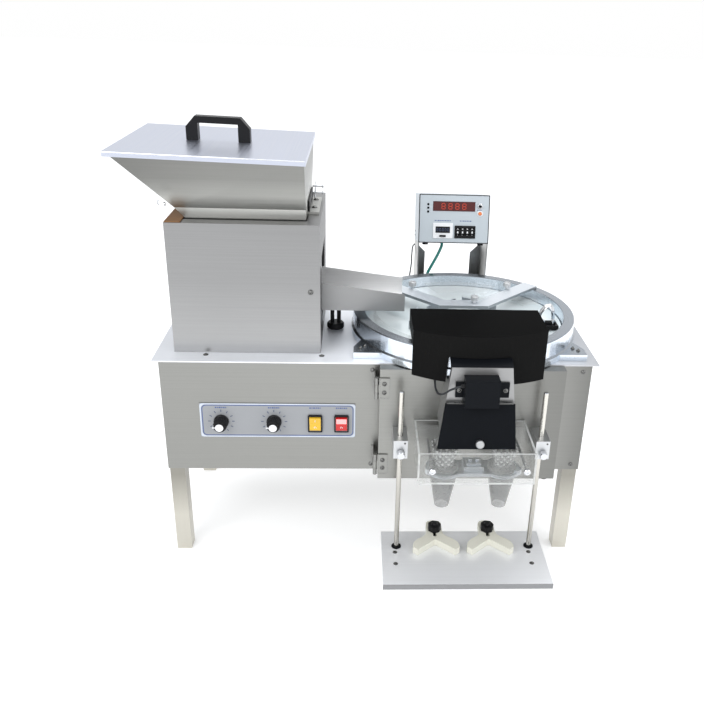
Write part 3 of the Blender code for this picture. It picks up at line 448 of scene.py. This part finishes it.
ROUNDED = {
    "hopper_lid": 0.9, "lid_handle": 1.2, "bridge_bar": 0.5, "door_panel": 0.6, "sensor_box": 1.2,
    "chute_flap": 0.8, "acrylic_tray": 0.6, "clamp_left": 0.8, "clamp_right": 0.8, "platform": 0.7,
    "locator_left": 1.0, "locator_right": 1.0, "counter_box": 0.8, "deck_plate": 0.4,
    "discharge_hood": 0.4, "leg_frame_left": 1.0, "leg_frame_right": 1.0, "star_knob_left": 0.8,
    "star_knob_right": 0.8, "feeder_housing": 0.5, "cabinet_shell": 0.6, "control_panel": 0.3,
    "rocker_yellow": 0.6, "rocker_red": 0.6, "chute_housing": 0.4,
}


def soften(obj, width_mm):
    bevel = obj.modifiers.new("soft_edges", "BEVEL")
    bevel.width = width_mm * 0.001
    bevel.segments = 2
    bevel.limit_method = "ANGLE"
    bevel.angle_limit = radians(40)


def dress_nodes():
    for name, key in FINISH.items():
        obj = NODES[name]
        obj.data.materials.clear()
        obj.data.materials.append(MAT[key])
        if name in ROUNDED:
            soften(obj, ROUNDED[name])


# ---------------------------------------------------------------- mesh tools
def bridge(bm, rings):
    """Join rings of vertices one after another and close both ends."""
    count = len(rings[0])
    for low, high in zip(rings, rings[1:]):
        for k in range(count):
            j = (k + 1) % count
            bm.faces.new((low[k], low[j], high[j], high[k]))
    bm.faces.new(rings[0][::-1])
    bm.faces.new(rings[-1])


def block(bm, x0, x1, y0, y1, z0, z1):
    bridge(bm, [[bm.verts.new((x, y, z)) for x, y in ((x0, y0), (x1, y0), (x1, y1), (x0, y1))]
                for z in (z0, z1)])


AXES = {"Z": Matrix(), "X": Matrix.Rotation(pi / 2, 4, "Y"), "-Y": Matrix.Rotation(pi / 2, 4, "X"),
        "-X": Matrix.Rotation(-pi / 2, 4, "Y"), "-Z": Matrix.Rotation(pi, 4, "X")}


def turned(bm, profile, centre, axis="Z", count=24, lobes=0, depth=0.0):
    """Turn (radius, height) pairs about an axis, with optional grip lobes on the outside."""
    rows = []
    place = Matrix.Translation(centre) @ AXES[axis]
    widest = max(radius for radius, _ in profile)
    for radius, height in profile:
        ring = []
        for i in range(1 if radius == 0 else count):
            a = 2 * pi * i / count
            r = radius
            if lobes and radius > widest - 0.01:
                r = radius - depth * (0.5 - 0.5 * cos(lobes * a))
            ring.append(bm.verts.new(place @ Vector((r * cos(a), r * sin(a), height))))
        rows.append(ring)
    for low, high in zip(rows, rows[1:]):
        for i in range(count):
            j = (i + 1) % count
            quad = [low[i % len(low)], low[j % len(low)], high[j % len(high)], high[i % len(high)]]
            face = [v for k, v in enumerate(quad) if v not in quad[:k]]
            if len(face) > 2:
                bm.faces.new(face)


def sweep(bm, path, radius, count=10, flat=1.0):
    """Round or flattened section carried along a path of points."""
    points = [Vector(p) for p in path]
    side = None
    rings = []
    for i, point in enumerate(points):
        ahead = (points[min(i + 1, len(points) - 1)] - points[max(i - 1, 0)]).normalized()
        side = ahead.orthogonal() if side is None else side - ahead * side.dot(ahead)
        side.normalize()
        up = ahead.cross(side)
        rings.append([bm.verts.new(point + side * cos(2 * pi * k / count) * radius
                                   + up * sin(2 * pi * k / count) * radius * flat)
                      for k in range(count)])
    bridge(bm, rings)


def outline_frame(bm, outer, inner, y0, y1):
    """Flat frame in the XZ plane between two outlines with the same number of points."""
    rows = [[bm.verts.new((x, y, z)) for x, z in line]
            for y, line in ((y1, outer), (y0, outer), (y0, inner), (y1, inner))]
    count = len(outer)
    for a, b in zip(rows, rows[1:] + rows[:1]):
        for i in range(count):
            j = (i + 1) % count
            bm.faces.new((a[i], a[j], b[j], b[i]))


def rounded_rect(x0, x1, z0, z1, radius, steps=5):
    points = []
    for cx, cz, start in ((x1 - radius, z1 - radius, 0), (x0 + radius, z1 - radius, 90),
                          (x0 + radius, z0 + radius, 180), (x1 - radius, z0 + radius, 270)):
        for k in range(steps + 1):
            a = radians(start + 90 * k / steps)
            points.append((cx + radius * cos(a), cz + radius * sin(a)))
    return points


def piece(name, bm, key, body, bevel=0.0, smooth=True):
    """Finish a mesh made in machine millimetres and hang it on its body."""
    bmesh.ops.recalc_face_normals(bm, faces=bm.faces)
    for vert in bm.verts:
        vert.co = world(vert.co)
    for face in bm.faces:
        face.smooth = smooth
    for edge in bm.edges:
        edge.smooth = len(edge.link_faces) == 2 and edge.calc_face_angle(0.0) < radians(38)
    mesh = bpy.data.meshes.new(name)
    bm.to_mesh(mesh)
    bm.free()
    obj = bpy.data.objects.new(name, mesh)
    bpy.context.scene.collection.objects.link(obj)
    mesh.materials.append(MAT[key])
    if bevel:
        soften(obj, bevel)
    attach(obj, body)
    return obj


def screw(name, place, body, axis="-Y", radius=3.6, height=2.0, washer=True, key="screw"):
    """Button-head screw with a round socket, on a thin washer unless washer is False."""
    bm = bmesh.new()
    lift = 0.5 if washer else 0.0
    profile = [(0, lift + height * 0.35), (radius * 0.38, lift + height * 0.35),
               (radius * 0.42, lift + height), (radius * 0.72, lift + height * 0.85),
               (radius, lift + height * 0.3), (radius, lift)]
    if washer:
        profile += [(radius * 1.35, lift), (radius * 1.35, 0)]
    turned(bm, profile + [(0, 0)] if washer else profile + [(0, lift)], place, axis, 18)
    return piece(name, bm, key, body)


# ---------------------------------------------------------------- cabinet details
TICK_CORNERS = ((16.8, 0.55), (16.8, -0.55), (20.8, -0.55), (20.8, 0.55))


def dashes(bm, x0, x1, y, z, height=1.8):
    """A row of short printed strokes standing for a caption."""
    x = x0
    step = 0
    while x < x1 - 1:
        width = (2.4, 1.5, 3.1, 1.9)[step % 4]
        block(bm, x, min(x + width, x1), y - 0.12, y + 0.1, z, z + height)
        x += width + 1.0
        step += 1


def build_cabinet_details():
    front = span("cabinet_shell")[0].y
    top = span("deck_plate")[1].z
    for i, (x, z) in enumerate(((-9.5, 346), (-9.5, 174), (327, 346), (327, 174))):
        screw("cabinet_screw_%d" % (i + 1), (x, front, z), "machine", radius=3.0, height=1.6)
    for i, (x, y) in enumerate(((-271, 25), (-90, 25), (-271, 268), (-90, 268))):
        screw("deck_screw_%d" % (i + 1), (x, y, top), "machine", "Z", 3.2, 1.4)
    screw("housing_screw", (-106.7, span("feeder_housing")[0].y, 464), "machine", radius=3.4)

    lo, hi = span("control_panel")
    face = PANEL_FACE
    bm = bmesh.new()
    outline_frame(bm, rounded_rect(lo.x + 3, hi.x - 3, lo.z + 2.5, hi.z - 2.5, 7),
                  rounded_rect(lo.x + 4.3, hi.x - 4.3, lo.z + 3.8, hi.z - 3.8, 6),
                  face - 0.25, face + 0.1)
    piece("panel_border", bm, "blue", "machine")
    bm = bmesh.new()
    outline_frame(bm, rounded_rect(lo.x, hi.x, lo.z, hi.z, 4),
                  rounded_rect(lo.x + 2.2, hi.x - 2.2, lo.z + 2.0, hi.z - 2.0, 7),
                  face - 0.2, face + 0.1)
    piece("panel_edge", bm, "edge", "machine")

    bm = bmesh.new()
    for node in ("vibrator_knob", "turntable_knob", "rocker_yellow", "rocker_red"):
        low, high = span(node)
        x = (low.x + high.x) / 2
        dashes(bm, x - 9, x + 9, face, hi.z - 8.5, 2.4)
    piece("panel_captions", bm, "blue", "machine", smooth=False)

    for name, body in (("vibrator_knob", "feed_dial"), ("turntable_knob", "table_dial")):
        low, high = span(name)
        x, z = (low.x + high.x) / 2, (low.z + high.z) / 2
        bm = bmesh.new()
        for k in range(11):
            a = radians(-60 + 30 * k)
            across = Vector((cos(a), 0, sin(a)))
            along = Vector((-sin(a), 0, cos(a)))
            bridge(bm, [[bm.verts.new(Vector((x, depth, z)) + across * reach + along * half)
                         for reach, half in TICK_CORNERS] for depth in (face - 0.2, face + 0.1)])
        piece("dial_ticks_" + body, bm, "tick", "machine", smooth=False)
        bm = bmesh.new()
        turned(bm, [(0, 0.9), (5.6, 0.9), (6.4, 0.5), (6.4, -0.4), (0, -0.4)], (x, low.y, z), "-Y", 28)
        piece("knob_cap_" + body, bm, "white", body)
        bm = bmesh.new()
        block(bm, x - 10.9, x - 6.0, low.y - 0.3, low.y + 8.0, z - 0.6, z + 0.6)
        piece("knob_pointer_" + body, bm, "white", body, 0.2)
        bm = bmesh.new()
        for k in range(24):
            a = 2 * pi * k / 24
            if abs(a - pi) > 0.2:
                turned(bm, [(0, 4.5), (0.5, 4.5), (0.5, 17.5), (0, 17.5)],
                       (x + 10.3 * cos(a), high.y, z + 10.3 * sin(a)), "-Y", 6)
        piece("knob_grip_" + body, bm, "black", body)

    bezel_key = {"rocker_yellow": "yellow_switch", "rocker_red": "red_switch"}
    for name, body in bezel_key.items():
        low, high = span(name)
        x, z = (low.x + high.x) / 2, (low.z + high.z) / 2
        bm = bmesh.new()
        outline_frame(bm, rounded_rect(x - 11.6, x + 11.6, z - 15.3, z + 15.3, 1.5),
                      rounded_rect(x - 9.6, x + 9.6, z - 13.0, z + 13.0, 1.0), lo.y - 0.4, face + 0.2)
        piece("bezel_" + body, bm, "black", "machine", 0.25)
        bm = bmesh.new()
        tilt = Matrix.Rotation(radians(8), 4, "X")
        ring = [(2.0, 0.1), (2.0, 0.35), (1.4, 0.35), (1.4, 0.1), (2.0, 0.1)]
        turned(bm, ring, (0, -2.5, -6.5), "-Y", 16)
        block(bm, -0.35, 0.35, -3.15, -2.7, 4.6, 8.4)
        for vert in bm.verts:
            vert.co = Vector((x, ROCKER_PIVOT_Y, z)) + tilt @ vert.co
        piece("marks_" + body, bm, "white", body, smooth=False)
    low, high = span("rocker_red")
    x, z = (low.x + high.x) / 2, (low.z + high.z) / 2
    bm = bmesh.new()
    block(bm, -8.2, 8.2, -3.3, -2.2, 1.2, 11.2)
    for vert in bm.verts:
        lean = -0.115 * (vert.co.z - 1.2)
        vert.co.y += lean
        vert.co = Vector((x, ROCKER_PIVOT_Y, z)) + Matrix.Rotation(radians(8), 4, "X") @ vert.co
    piece("rocker_lamp_lens", bm, "lit", "red_switch", 0.3)


# ---------------------------------------------------------------- hopper and turntable details
def build_feeder_details():
    hopper_left = span("hopper")[0].x
    house_lo, house_hi = span("feeder_housing")
    bm = bmesh.new()
    block(bm, house_lo.x + 0.8, hopper_left + 92.5, house_lo.y + 0.8, house_hi.y - 1,
          house_hi.z + 0.2, house_hi.z + 1.6)
    piece("dust_board", bm, "brown", "machine", 0.2)

    bm = bmesh.new()
    sweep(bm, [(-317, 30, 598.5), (-320, 30, 597.0), (-323.5, 30, 596.5), (-326, 30, 598.5),
               (-325.5, 30, 601.5), (-322.5, 30, 602.6)], 1.1, 8)
    turned(bm, [(0, 0), (3.0, 0), (3.0, 2), (0, 3)], (-314.5, 30, 597.6), "-X", 14)
    piece("hopper_hook", bm, "chrome", "machine")

    plate = house_hi.z + 4.5
    for i, y in enumerate((181, 128)):
        screw("bracket_screw_%d" % (i + 1), (-104.5, y, plate), "machine", "Z", 3.4, 1.8)
    bm = bmesh.new()
    block(bm, -113.0, -110.6, 99, 199, plate, plate + 17)
    piece("hopper_gasket", bm, "black", "machine", 0.4)
    bm = bmesh.new()
    sweep(bm, [(-107, 196, plate), (-107, 197, plate + 8), (-106, 199, plate + 20),
               (-104.5, 203, plate + 31)], 1.2, 8)
    for z in (plate + 8, plate + 19):
        pin = [(0, 0), (1.3, 0), (1.3, 15), (2.6, 15), (2.6, 18), (0, 18.5)]
        turned(bm, pin, (-111, 196, z), "X", 12)
    piece("hopper_latch", bm, "chrome", "machine")

    lid_lo, lid_hi = span("hopper_lid")
    bm = bmesh.new()
    for y in (lid_lo.y - 0.25, lid_hi.y - 0.05):
        sweep(bm, [(lid_lo.x + 1, y, lid_hi.z - 1.0), (lid_hi.x - 1, y, lid_hi.z - 8.0)], 0.7, 8)
    piece("lid_edge_highlight", bm, "chrome", "lid")


def build_turntable_details():
    ring_lo, ring_hi = span("turntable_ring")
    bar_top = span("bridge_bar")[1].z
    for i, (x, y) in enumerate(((64, 228), (167, 158), (236, 231))):
        bm = bmesh.new()
        head = [(0, 0), (3.4, 0), (3.4, 2.5), (6.8, 3.2), (6.8, 10), (5.6, 11.2), (2.5, 11.2),
                (2.2, 10.4), (0, 10.4)]
        turned(bm, head, (x, y, bar_top), "Z", 48, 16, 0.7)
        piece("thumb_screw_%d" % (i + 1), bm, "block", "machine")
    base = span("deck_plate")[1].z + 10.3
    spots = ((-29, 33), (-22, 41), (322, 33), (315, 41), (-29, 255), (322, 255))
    for i, (x, y) in enumerate(spots):
        screw("ring_screw_%d" % (i + 1), (x, y, base), "machine", "Z", 2.6, 3.0)

    disc = span("glass_disc")[1].z
    centre = (ring_lo + ring_hi) / 2
    bm = bmesh.new()
    for a0, a1, r0, r1, z in ((60, 112, 96, 150, disc + 12), (20, 52, 118, 158, disc + 9)):
        rows = []
        for k in range(13):
            a = radians(a0 + (a1 - a0) * k / 12)
            rows.append([bm.verts.new((centre.x + r * cos(a), centre.y + r * sin(a), h))
                         for r, h in ((r0, z), (r1, z), (r1, z + 2.5), (r0, z + 2.5))])
        bridge(bm, rows)
    piece("cover_plates", bm, "acrylic", "machine")

    bm = bmesh.new()
    for x, y, turn in ((112, 176, 38), (180, 186, -35), (60, 120, 75)):
        a = radians(turn)
        ends = [Vector((x - 34 * cos(a), y - 34 * sin(a))), Vector((x + 34 * cos(a), y + 34 * sin(a)))]
        side = Vector((-sin(a), cos(a))) * 1.2
        loop = [ends[0] + side, ends[1] + side, ends[1] - side, ends[0] - side]
        bridge(bm, [[bm.verts.new((p.x, p.y, disc + rise)) for p in loop] for rise in (1.5, 17)])
    piece("guide_fences", bm, "bar", "machine", 0.3)

    bm = bmesh.new()
    loop = [(298, 120, disc + 4), (297, 116, disc + 16), (294, 113, disc + 30), (289, 112, disc + 38),
            (281, 113, disc + 36), (275, 114, disc + 26), (272, 116, disc + 12), (268, 119, disc + 3)]
    sweep(bm, loop, 5.0, 10, 0.25)
    piece("spring_clip", bm, "chrome", "machine")
    bm = bmesh.new()
    block(bm, 268, 302, 92, 112, disc + 2, disc + 9)
    turned(bm, [(0, 0), (4, 0), (4, 26), (0, 26)], (272, 102, disc + 11), "X", 16)
    piece("fence_hinge", bm, "black", "machine", 0.8)
    bm = bmesh.new()
    for x, y in ((276, 98), (293, 100)):
        stud = [(0, 0), (2.2, 0), (2.2, 5), (3.6, 5), (3.6, 8), (0, 8.5)]
        turned(bm, stud, (x, y, disc + 9), "Z", 12)
    piece("fence_screws", bm, "chrome", "machine")


# ---------------------------------------------------------------- door and outlet details
def build_door_details():
    door_low = span("door_panel")[0].z
    face = -21.9
    for i, z in enumerate((320.5, 335.5, 184.0, 198.5)):
        screw("hinge_screw_%d" % (i + 1), (8.6, face, z), "door", radius=3.0, height=1.8)
    bm = bmesh.new()
    turned(bm, [(0, 0), (5.5, 0), (6.5, 2), (6.5, 5), (0, 5.5)], (279, -8, door_low), "-Z", 20)
    piece("door_stud", bm, "black", "door")

    for i, (z0, z1) in enumerate(((310.3, 345.4), (172.6, 208.9))):
        bm = bmesh.new()
        outline_frame(bm, rounded_rect(1.6, 17.2, z0, z1, 2.5),
                      rounded_rect(2.5, 16.2, z0 + 1, z1 - 1, 2.0), face - 0.5, face + 1.4)
        piece("hinge_leaf_rim_%d" % (i + 1), bm, "hinge", "door")

    chute_front = span("chute_housing")[0].y
    bm = bmesh.new()
    bridge(bm, [[bm.verts.new((x, y, h))
                 for x, h in ((104, z), (198, z), (198, z - 1.5), (104, z - 1.5))]
                for y, z in ((-47, 395.2), (-56, 394.6), (-68.3, 388.6))])
    piece("chute_cover", bm, "sensor", "door", 0.3)
    for i, x in enumerate((118.0, 188.0)):
        screw("sensor_screw_%d" % (i + 1), (x, chute_front - 3.3, 352), "door", radius=2.6, height=1.6)
    sensor_left = span("sensor_box")[0].x
    bm = bmesh.new()
    gland = [(0, -1), (3.2, -1), (3.2, 3), (2.4, 6), (0, 6)]
    turned(bm, gland, (sensor_left + 12.5, -84, 364), "-X", 16)
    piece("sensor_gland", bm, "black", "door")

    low, high = span("acrylic_tray")
    bm = bmesh.new()
    for y0, y1 in ((low.y, low.y + 3), (high.y - 3, high.y)):
        block(bm, low.x, high.x, y0, y1, high.z - 0.2, high.z + 0.4)
    for x0, x1 in ((low.x, low.x + 3), (high.x - 3, high.x)):
        block(bm, x0, x1, low.y + 3, high.y - 3, high.z - 0.2, high.z + 0.4)
        block(bm, x0, x1, low.y - 0.4, low.y + 0.2, low.z, high.z)
    block(bm, low.x + 3, high.x - 3, low.y - 0.4, low.y + 0.2, low.z, low.z + 3)
    piece("tray_rims", bm, "rim", "door", 0.1)

    for i, x in enumerate((79.0, 221.0)):
        bm = bmesh.new()
        rod = [(0, 0), (1.9, 0), (1.9, 93), (5.2, 93), (5.2, 96.5), (3.6, 98), (1.6, 98),
               (1.4, 97), (0, 97)]
        turned(bm, rod, (x, -31, 243), "-Y", 18)
        piece("tray_tie_screw_%d" % (i + 1), bm, "chrome", "door")
        bm = bmesh.new()
        boss = [(2.2, -4.2), (8.2, -4.2), (8.2, -1.2), (2.2, -1.2), (2.2, -4.2)]
        turned(bm, boss, (x, -124, 243), "-Y", 24)
        piece("tray_boss_%d" % (i + 1), bm, "acrylic", "door")

    for side in ("left", "right"):
        low, high = span("clamp_" + side)
        for k, z in enumerate((232.5, 255.0)):
            screw("clamp_bolt_%s_%d" % (side, k + 1), (high.x - 4.5, low.y, z), "door", radius=1.6,
                  height=1.0, washer=False)
    bm = bmesh.new()
    low, high = span("nozzle_plate")
    x, y = (low.x + high.x) / 2, (low.y + high.y) / 2
    block(bm, x - 11, x + 11, y - 9, y + 9, high.z, high.z + 3)
    for offset in (-5, 6):
        turned(bm, [(0, 0), (3.4, 0), (3.4, 4), (0, 4)], (x + offset, y, high.z + 3), "Z", 6)
    piece("nozzle_latch", bm, "bar", "door", 0.5)

    flap_high = span("chute_flap")[1]
    bm = bmesh.new()
    grip = [(0, -1), (3.0, -1), (3.0, 2), (6.4, 2.4), (6.4, 10.5), (5.4, 11.5), (0, 11.5)]
    turned(bm, grip, (0, 0, 0), "-Y", 48, 24, 0.35)
    lean = Matrix.Rotation(radians(-21), 4, "X")
    for vert in bm.verts:
        vert.co = Vector((150.5, -96.8, 274.5)) + lean @ vert.co
    piece("flap_grip", bm, "block", "flap")
    bm = bmesh.new()
    turned(bm, [(0, 0), (1.7, 0), (1.7, 101), (0, 101)],
           (100.5, flap_high.y - 1.2, flap_high.z - 0.2), "X", 12)
    piece("flap_pin", bm, "screw", "flap")


def build_platform_details():
    for side, x in (("left", 34.5), ("right", 257.0)):
        top = span("platform")[1].z
        bm = bmesh.new()
        collar = [(4.2, 0), (8.0, 0), (8.0, 1.2), (7.0, 2.0), (4.2, 2.0), (4.2, 0)]
        turned(bm, collar, (x, -46, top), "Z", 24)
        piece("rod_collar_" + side, bm, "sensor", "table")
        for k, y in enumerate((-62, -91)):
            screw("platform_screw_%s_%d" % (side, k + 1), (x - 2.5, y, top), "table", "Z", 2.8, 0.9)
        high = span("rod_" + side)[1]
        bm = bmesh.new()
        tip = [(0, -0.4), (3.9, -0.4), (3.9, 0.3), (3.0, 1.2), (0, 1.2)]
        turned(bm, tip, (x, -46, high.z), "Z", 20)
        piece("rod_tip_" + side, bm, "chrome", "table")
    for side in ("left", "right"):
        low, high = span("star_knob_" + side)
        x, y = (low.x + high.x) / 2, (low.y + high.y) / 2
        bm = bmesh.new()
        turned(bm, [(0, -0.5), (5.5, -0.5), (5.2, 2.4), (4.0, 3.6), (0, 3.9)], (x, y, high.z), "Z", 24)
        piece("star_cap_" + side, bm, "black", "star_" + side)


# ---------------------------------------------------------------- counter details
# The counter leans back about the lower front edge of its case. Its details are laid out
# upright in these sizes and then leaned.
CASE_FRONT, CASE_DEPTH, CASE_LOW, CASE_HIGH = 340.0, 105.0, 457.3, 548.5
LEAN = (Matrix.Translation((0, CASE_FRONT, CASE_LOW)) @ Matrix.Rotation(radians(-12), 4, "X")
        @ Matrix.Translation((0, -CASE_FRONT, -CASE_LOW)))
SEGMENTS = ((-1, 1, 2), (1, 1, 2), (-1, -1, 2), (1, -1, 2), (0, 2, 1), (0, 0, 1), (0, -2, 1))


def lean(bm):
    bmesh.ops.transform(bm, matrix=LEAN, verts=bm.verts)
    return bm


def build_counter_details():
    lo, hi = span("counter_box")
    face = CASE_FRONT
    lo = Vector((lo.x, face, CASE_LOW))
    hi = Vector((hi.x, face + CASE_DEPTH, CASE_HIGH))
    window_left, window_front, window_middle = span("display_window")[0].x, face - 0.6, 526.4
    bm = bmesh.new()
    for k in range(4):
        x = window_left + 19.5 + 13.2 * k
        z = window_middle
        for sx, sz, kind in SEGMENTS:
            cx, cz = x + sx * 3.1, z + sz * 2.55
            half = (0.6, 2.1) if kind == 2 else (2.5, 0.6)
            block(bm, cx - half[0], cx + half[0], window_front - 0.25, window_front + 0.2,
                  cz - half[1], cz + half[1])
    piece("display_digits", lean(bm), "digit", "machine", smooth=False)

    bm = bmesh.new()
    outline_frame(bm, rounded_rect(lo.x - 0.2, hi.x + 0.2, lo.z - 0.2, hi.z + 0.2, 2.0),
                  rounded_rect(lo.x + 1.5, hi.x - 1.5, lo.z + 1.5, hi.z - 1.5, 1.5),
                  face - 0.5, face + 3)
    piece("counter_bezel", lean(bm), "dark", "machine", 0.2)
    bm = bmesh.new()
    for z in (529.6, 523.0, 516.0):
        turned(bm, [(0, 1.2), (1.6, 1.0), (2.2, 0.3), (2.2, -0.5), (0, -0.5)], (97, face, z), "-Y", 14)
    piece("counter_lamps", lean(bm), "sensor", "machine")

    bm = bmesh.new()
    dashes(bm, 110, 142, face, 498.5)
    dashes(bm, 158, 180, face, 498.5)
    dashes(bm, 190, 201, face, 519.6, 1.2)
    piece("counter_captions", lean(bm), "blue", "machine", smooth=False)

    bm = bmesh.new()
    block(bm, 107, 145, face - 1.6, face + 0.3, 466, 495)
    piece("batch_plate", lean(bm), "white", "machine", 0.6)
    bm = bmesh.new()
    block(bm, 112, 139.5, face - 2.2, face - 1.0, 476.5, 488.5)
    block(bm, 119.5, 131.5, face - 4.0, face - 1.0, 469.0, 472.5)
    piece("batch_window", lean(bm), "black", "machine", 0.4)
    bm = bmesh.new()
    for k in range(5):
        x = 115.3 + 5.2 * k
        outline_frame(bm, rounded_rect(x - 1.5, x + 1.5, 479.6, 485.4, 0.9),
                      rounded_rect(x - 0.9, x + 0.9, 480.3, 484.7, 0.5), face - 2.4, face - 2.0)
    piece("batch_digits", lean(bm), "tick", "machine", smooth=False)

    bm = bmesh.new()
    outline_frame(bm, rounded_rect(148.4, 188.2, 466.6, 490.6, 1.0),
                  rounded_rect(150.0, 186.5, 472.5, 485.5, 0.8), face - 1.6, face + 0.4)
    piece("preset_frame", lean(bm), "black", "machine", 0.4)
    for k in range(4):
        low, high = span("preset_wheel_%d" % (k + 1))
        x, y, z = ((low + high) / 2)
        bm = bmesh.new()
        for j in range(10):
            a = radians(36 * j + 8)
            out = Vector((0, -cos(a), sin(a)))
            along = Vector((0, sin(a), cos(a)))
            middle = Vector((x, y, z)) + out * 11.55
            bridge(bm, [[bm.verts.new(middle + out * depth + along * w + Vector((u, 0, 0)))
                         for u, w in ((-1.5, -1.9), (1.5, -1.9), (0.9, 1.9), (-0.9, 1.9))]
                        for depth in (-0.2, 0.2)])
        piece("preset_marks_%d" % (k + 1), bm, "white", "wheel_%d" % (k + 1), smooth=False)

    for name, x, z, key in (("toggle_nut", 195.7, 527.8, "chrome"),
                            ("button_ring", 195.7, 513.7, "white")):
        bm = bmesh.new()
        collar = [(3.6, 0), (5.6, 0), (5.6, 1.6), (4.8, 2.2), (3.6, 2.2), (3.6, 0)]
        turned(bm, collar, (x, face, z), "-Y", 6 if name == "toggle_nut" else 24)
        piece(name, lean(bm), key, "machine", 0.2)
    bm = bmesh.new()
    for x in (lo.x + 14, hi.x - 14):
        for y in (lo.y + 11, hi.y - 12):
            turned(bm, [(0, 0), (5.0, 0), (5.6, 1.5), (5.6, 4.0), (0, 4.6)], (x, y, lo.z), "-Z", 18)
    piece("counter_feet", lean(bm), "black", "machine")
    for i, (y, z) in enumerate(((430, 466), (430, 474))):
        screw("case_screw_%d" % (i + 1), LEAN @ Vector((lo.x, y, z)), "machine", "-X", 2.0, 1.2, False)
    bm = bmesh.new()
    block(bm, lo.x + 1.6, hi.x - 1.6, hi.y - 2.2, hi.y - 0.4, lo.z + 1.7, hi.z - 1.7)
    piece("counter_back", lean(bm), "case", "machine", 0.5)


build_camera()
build_studio()
dress_nodes()
build_cabinet_details()
build_feeder_details()
build_turntable_details()
build_door_details()
build_platform_details()
build_counter_details()
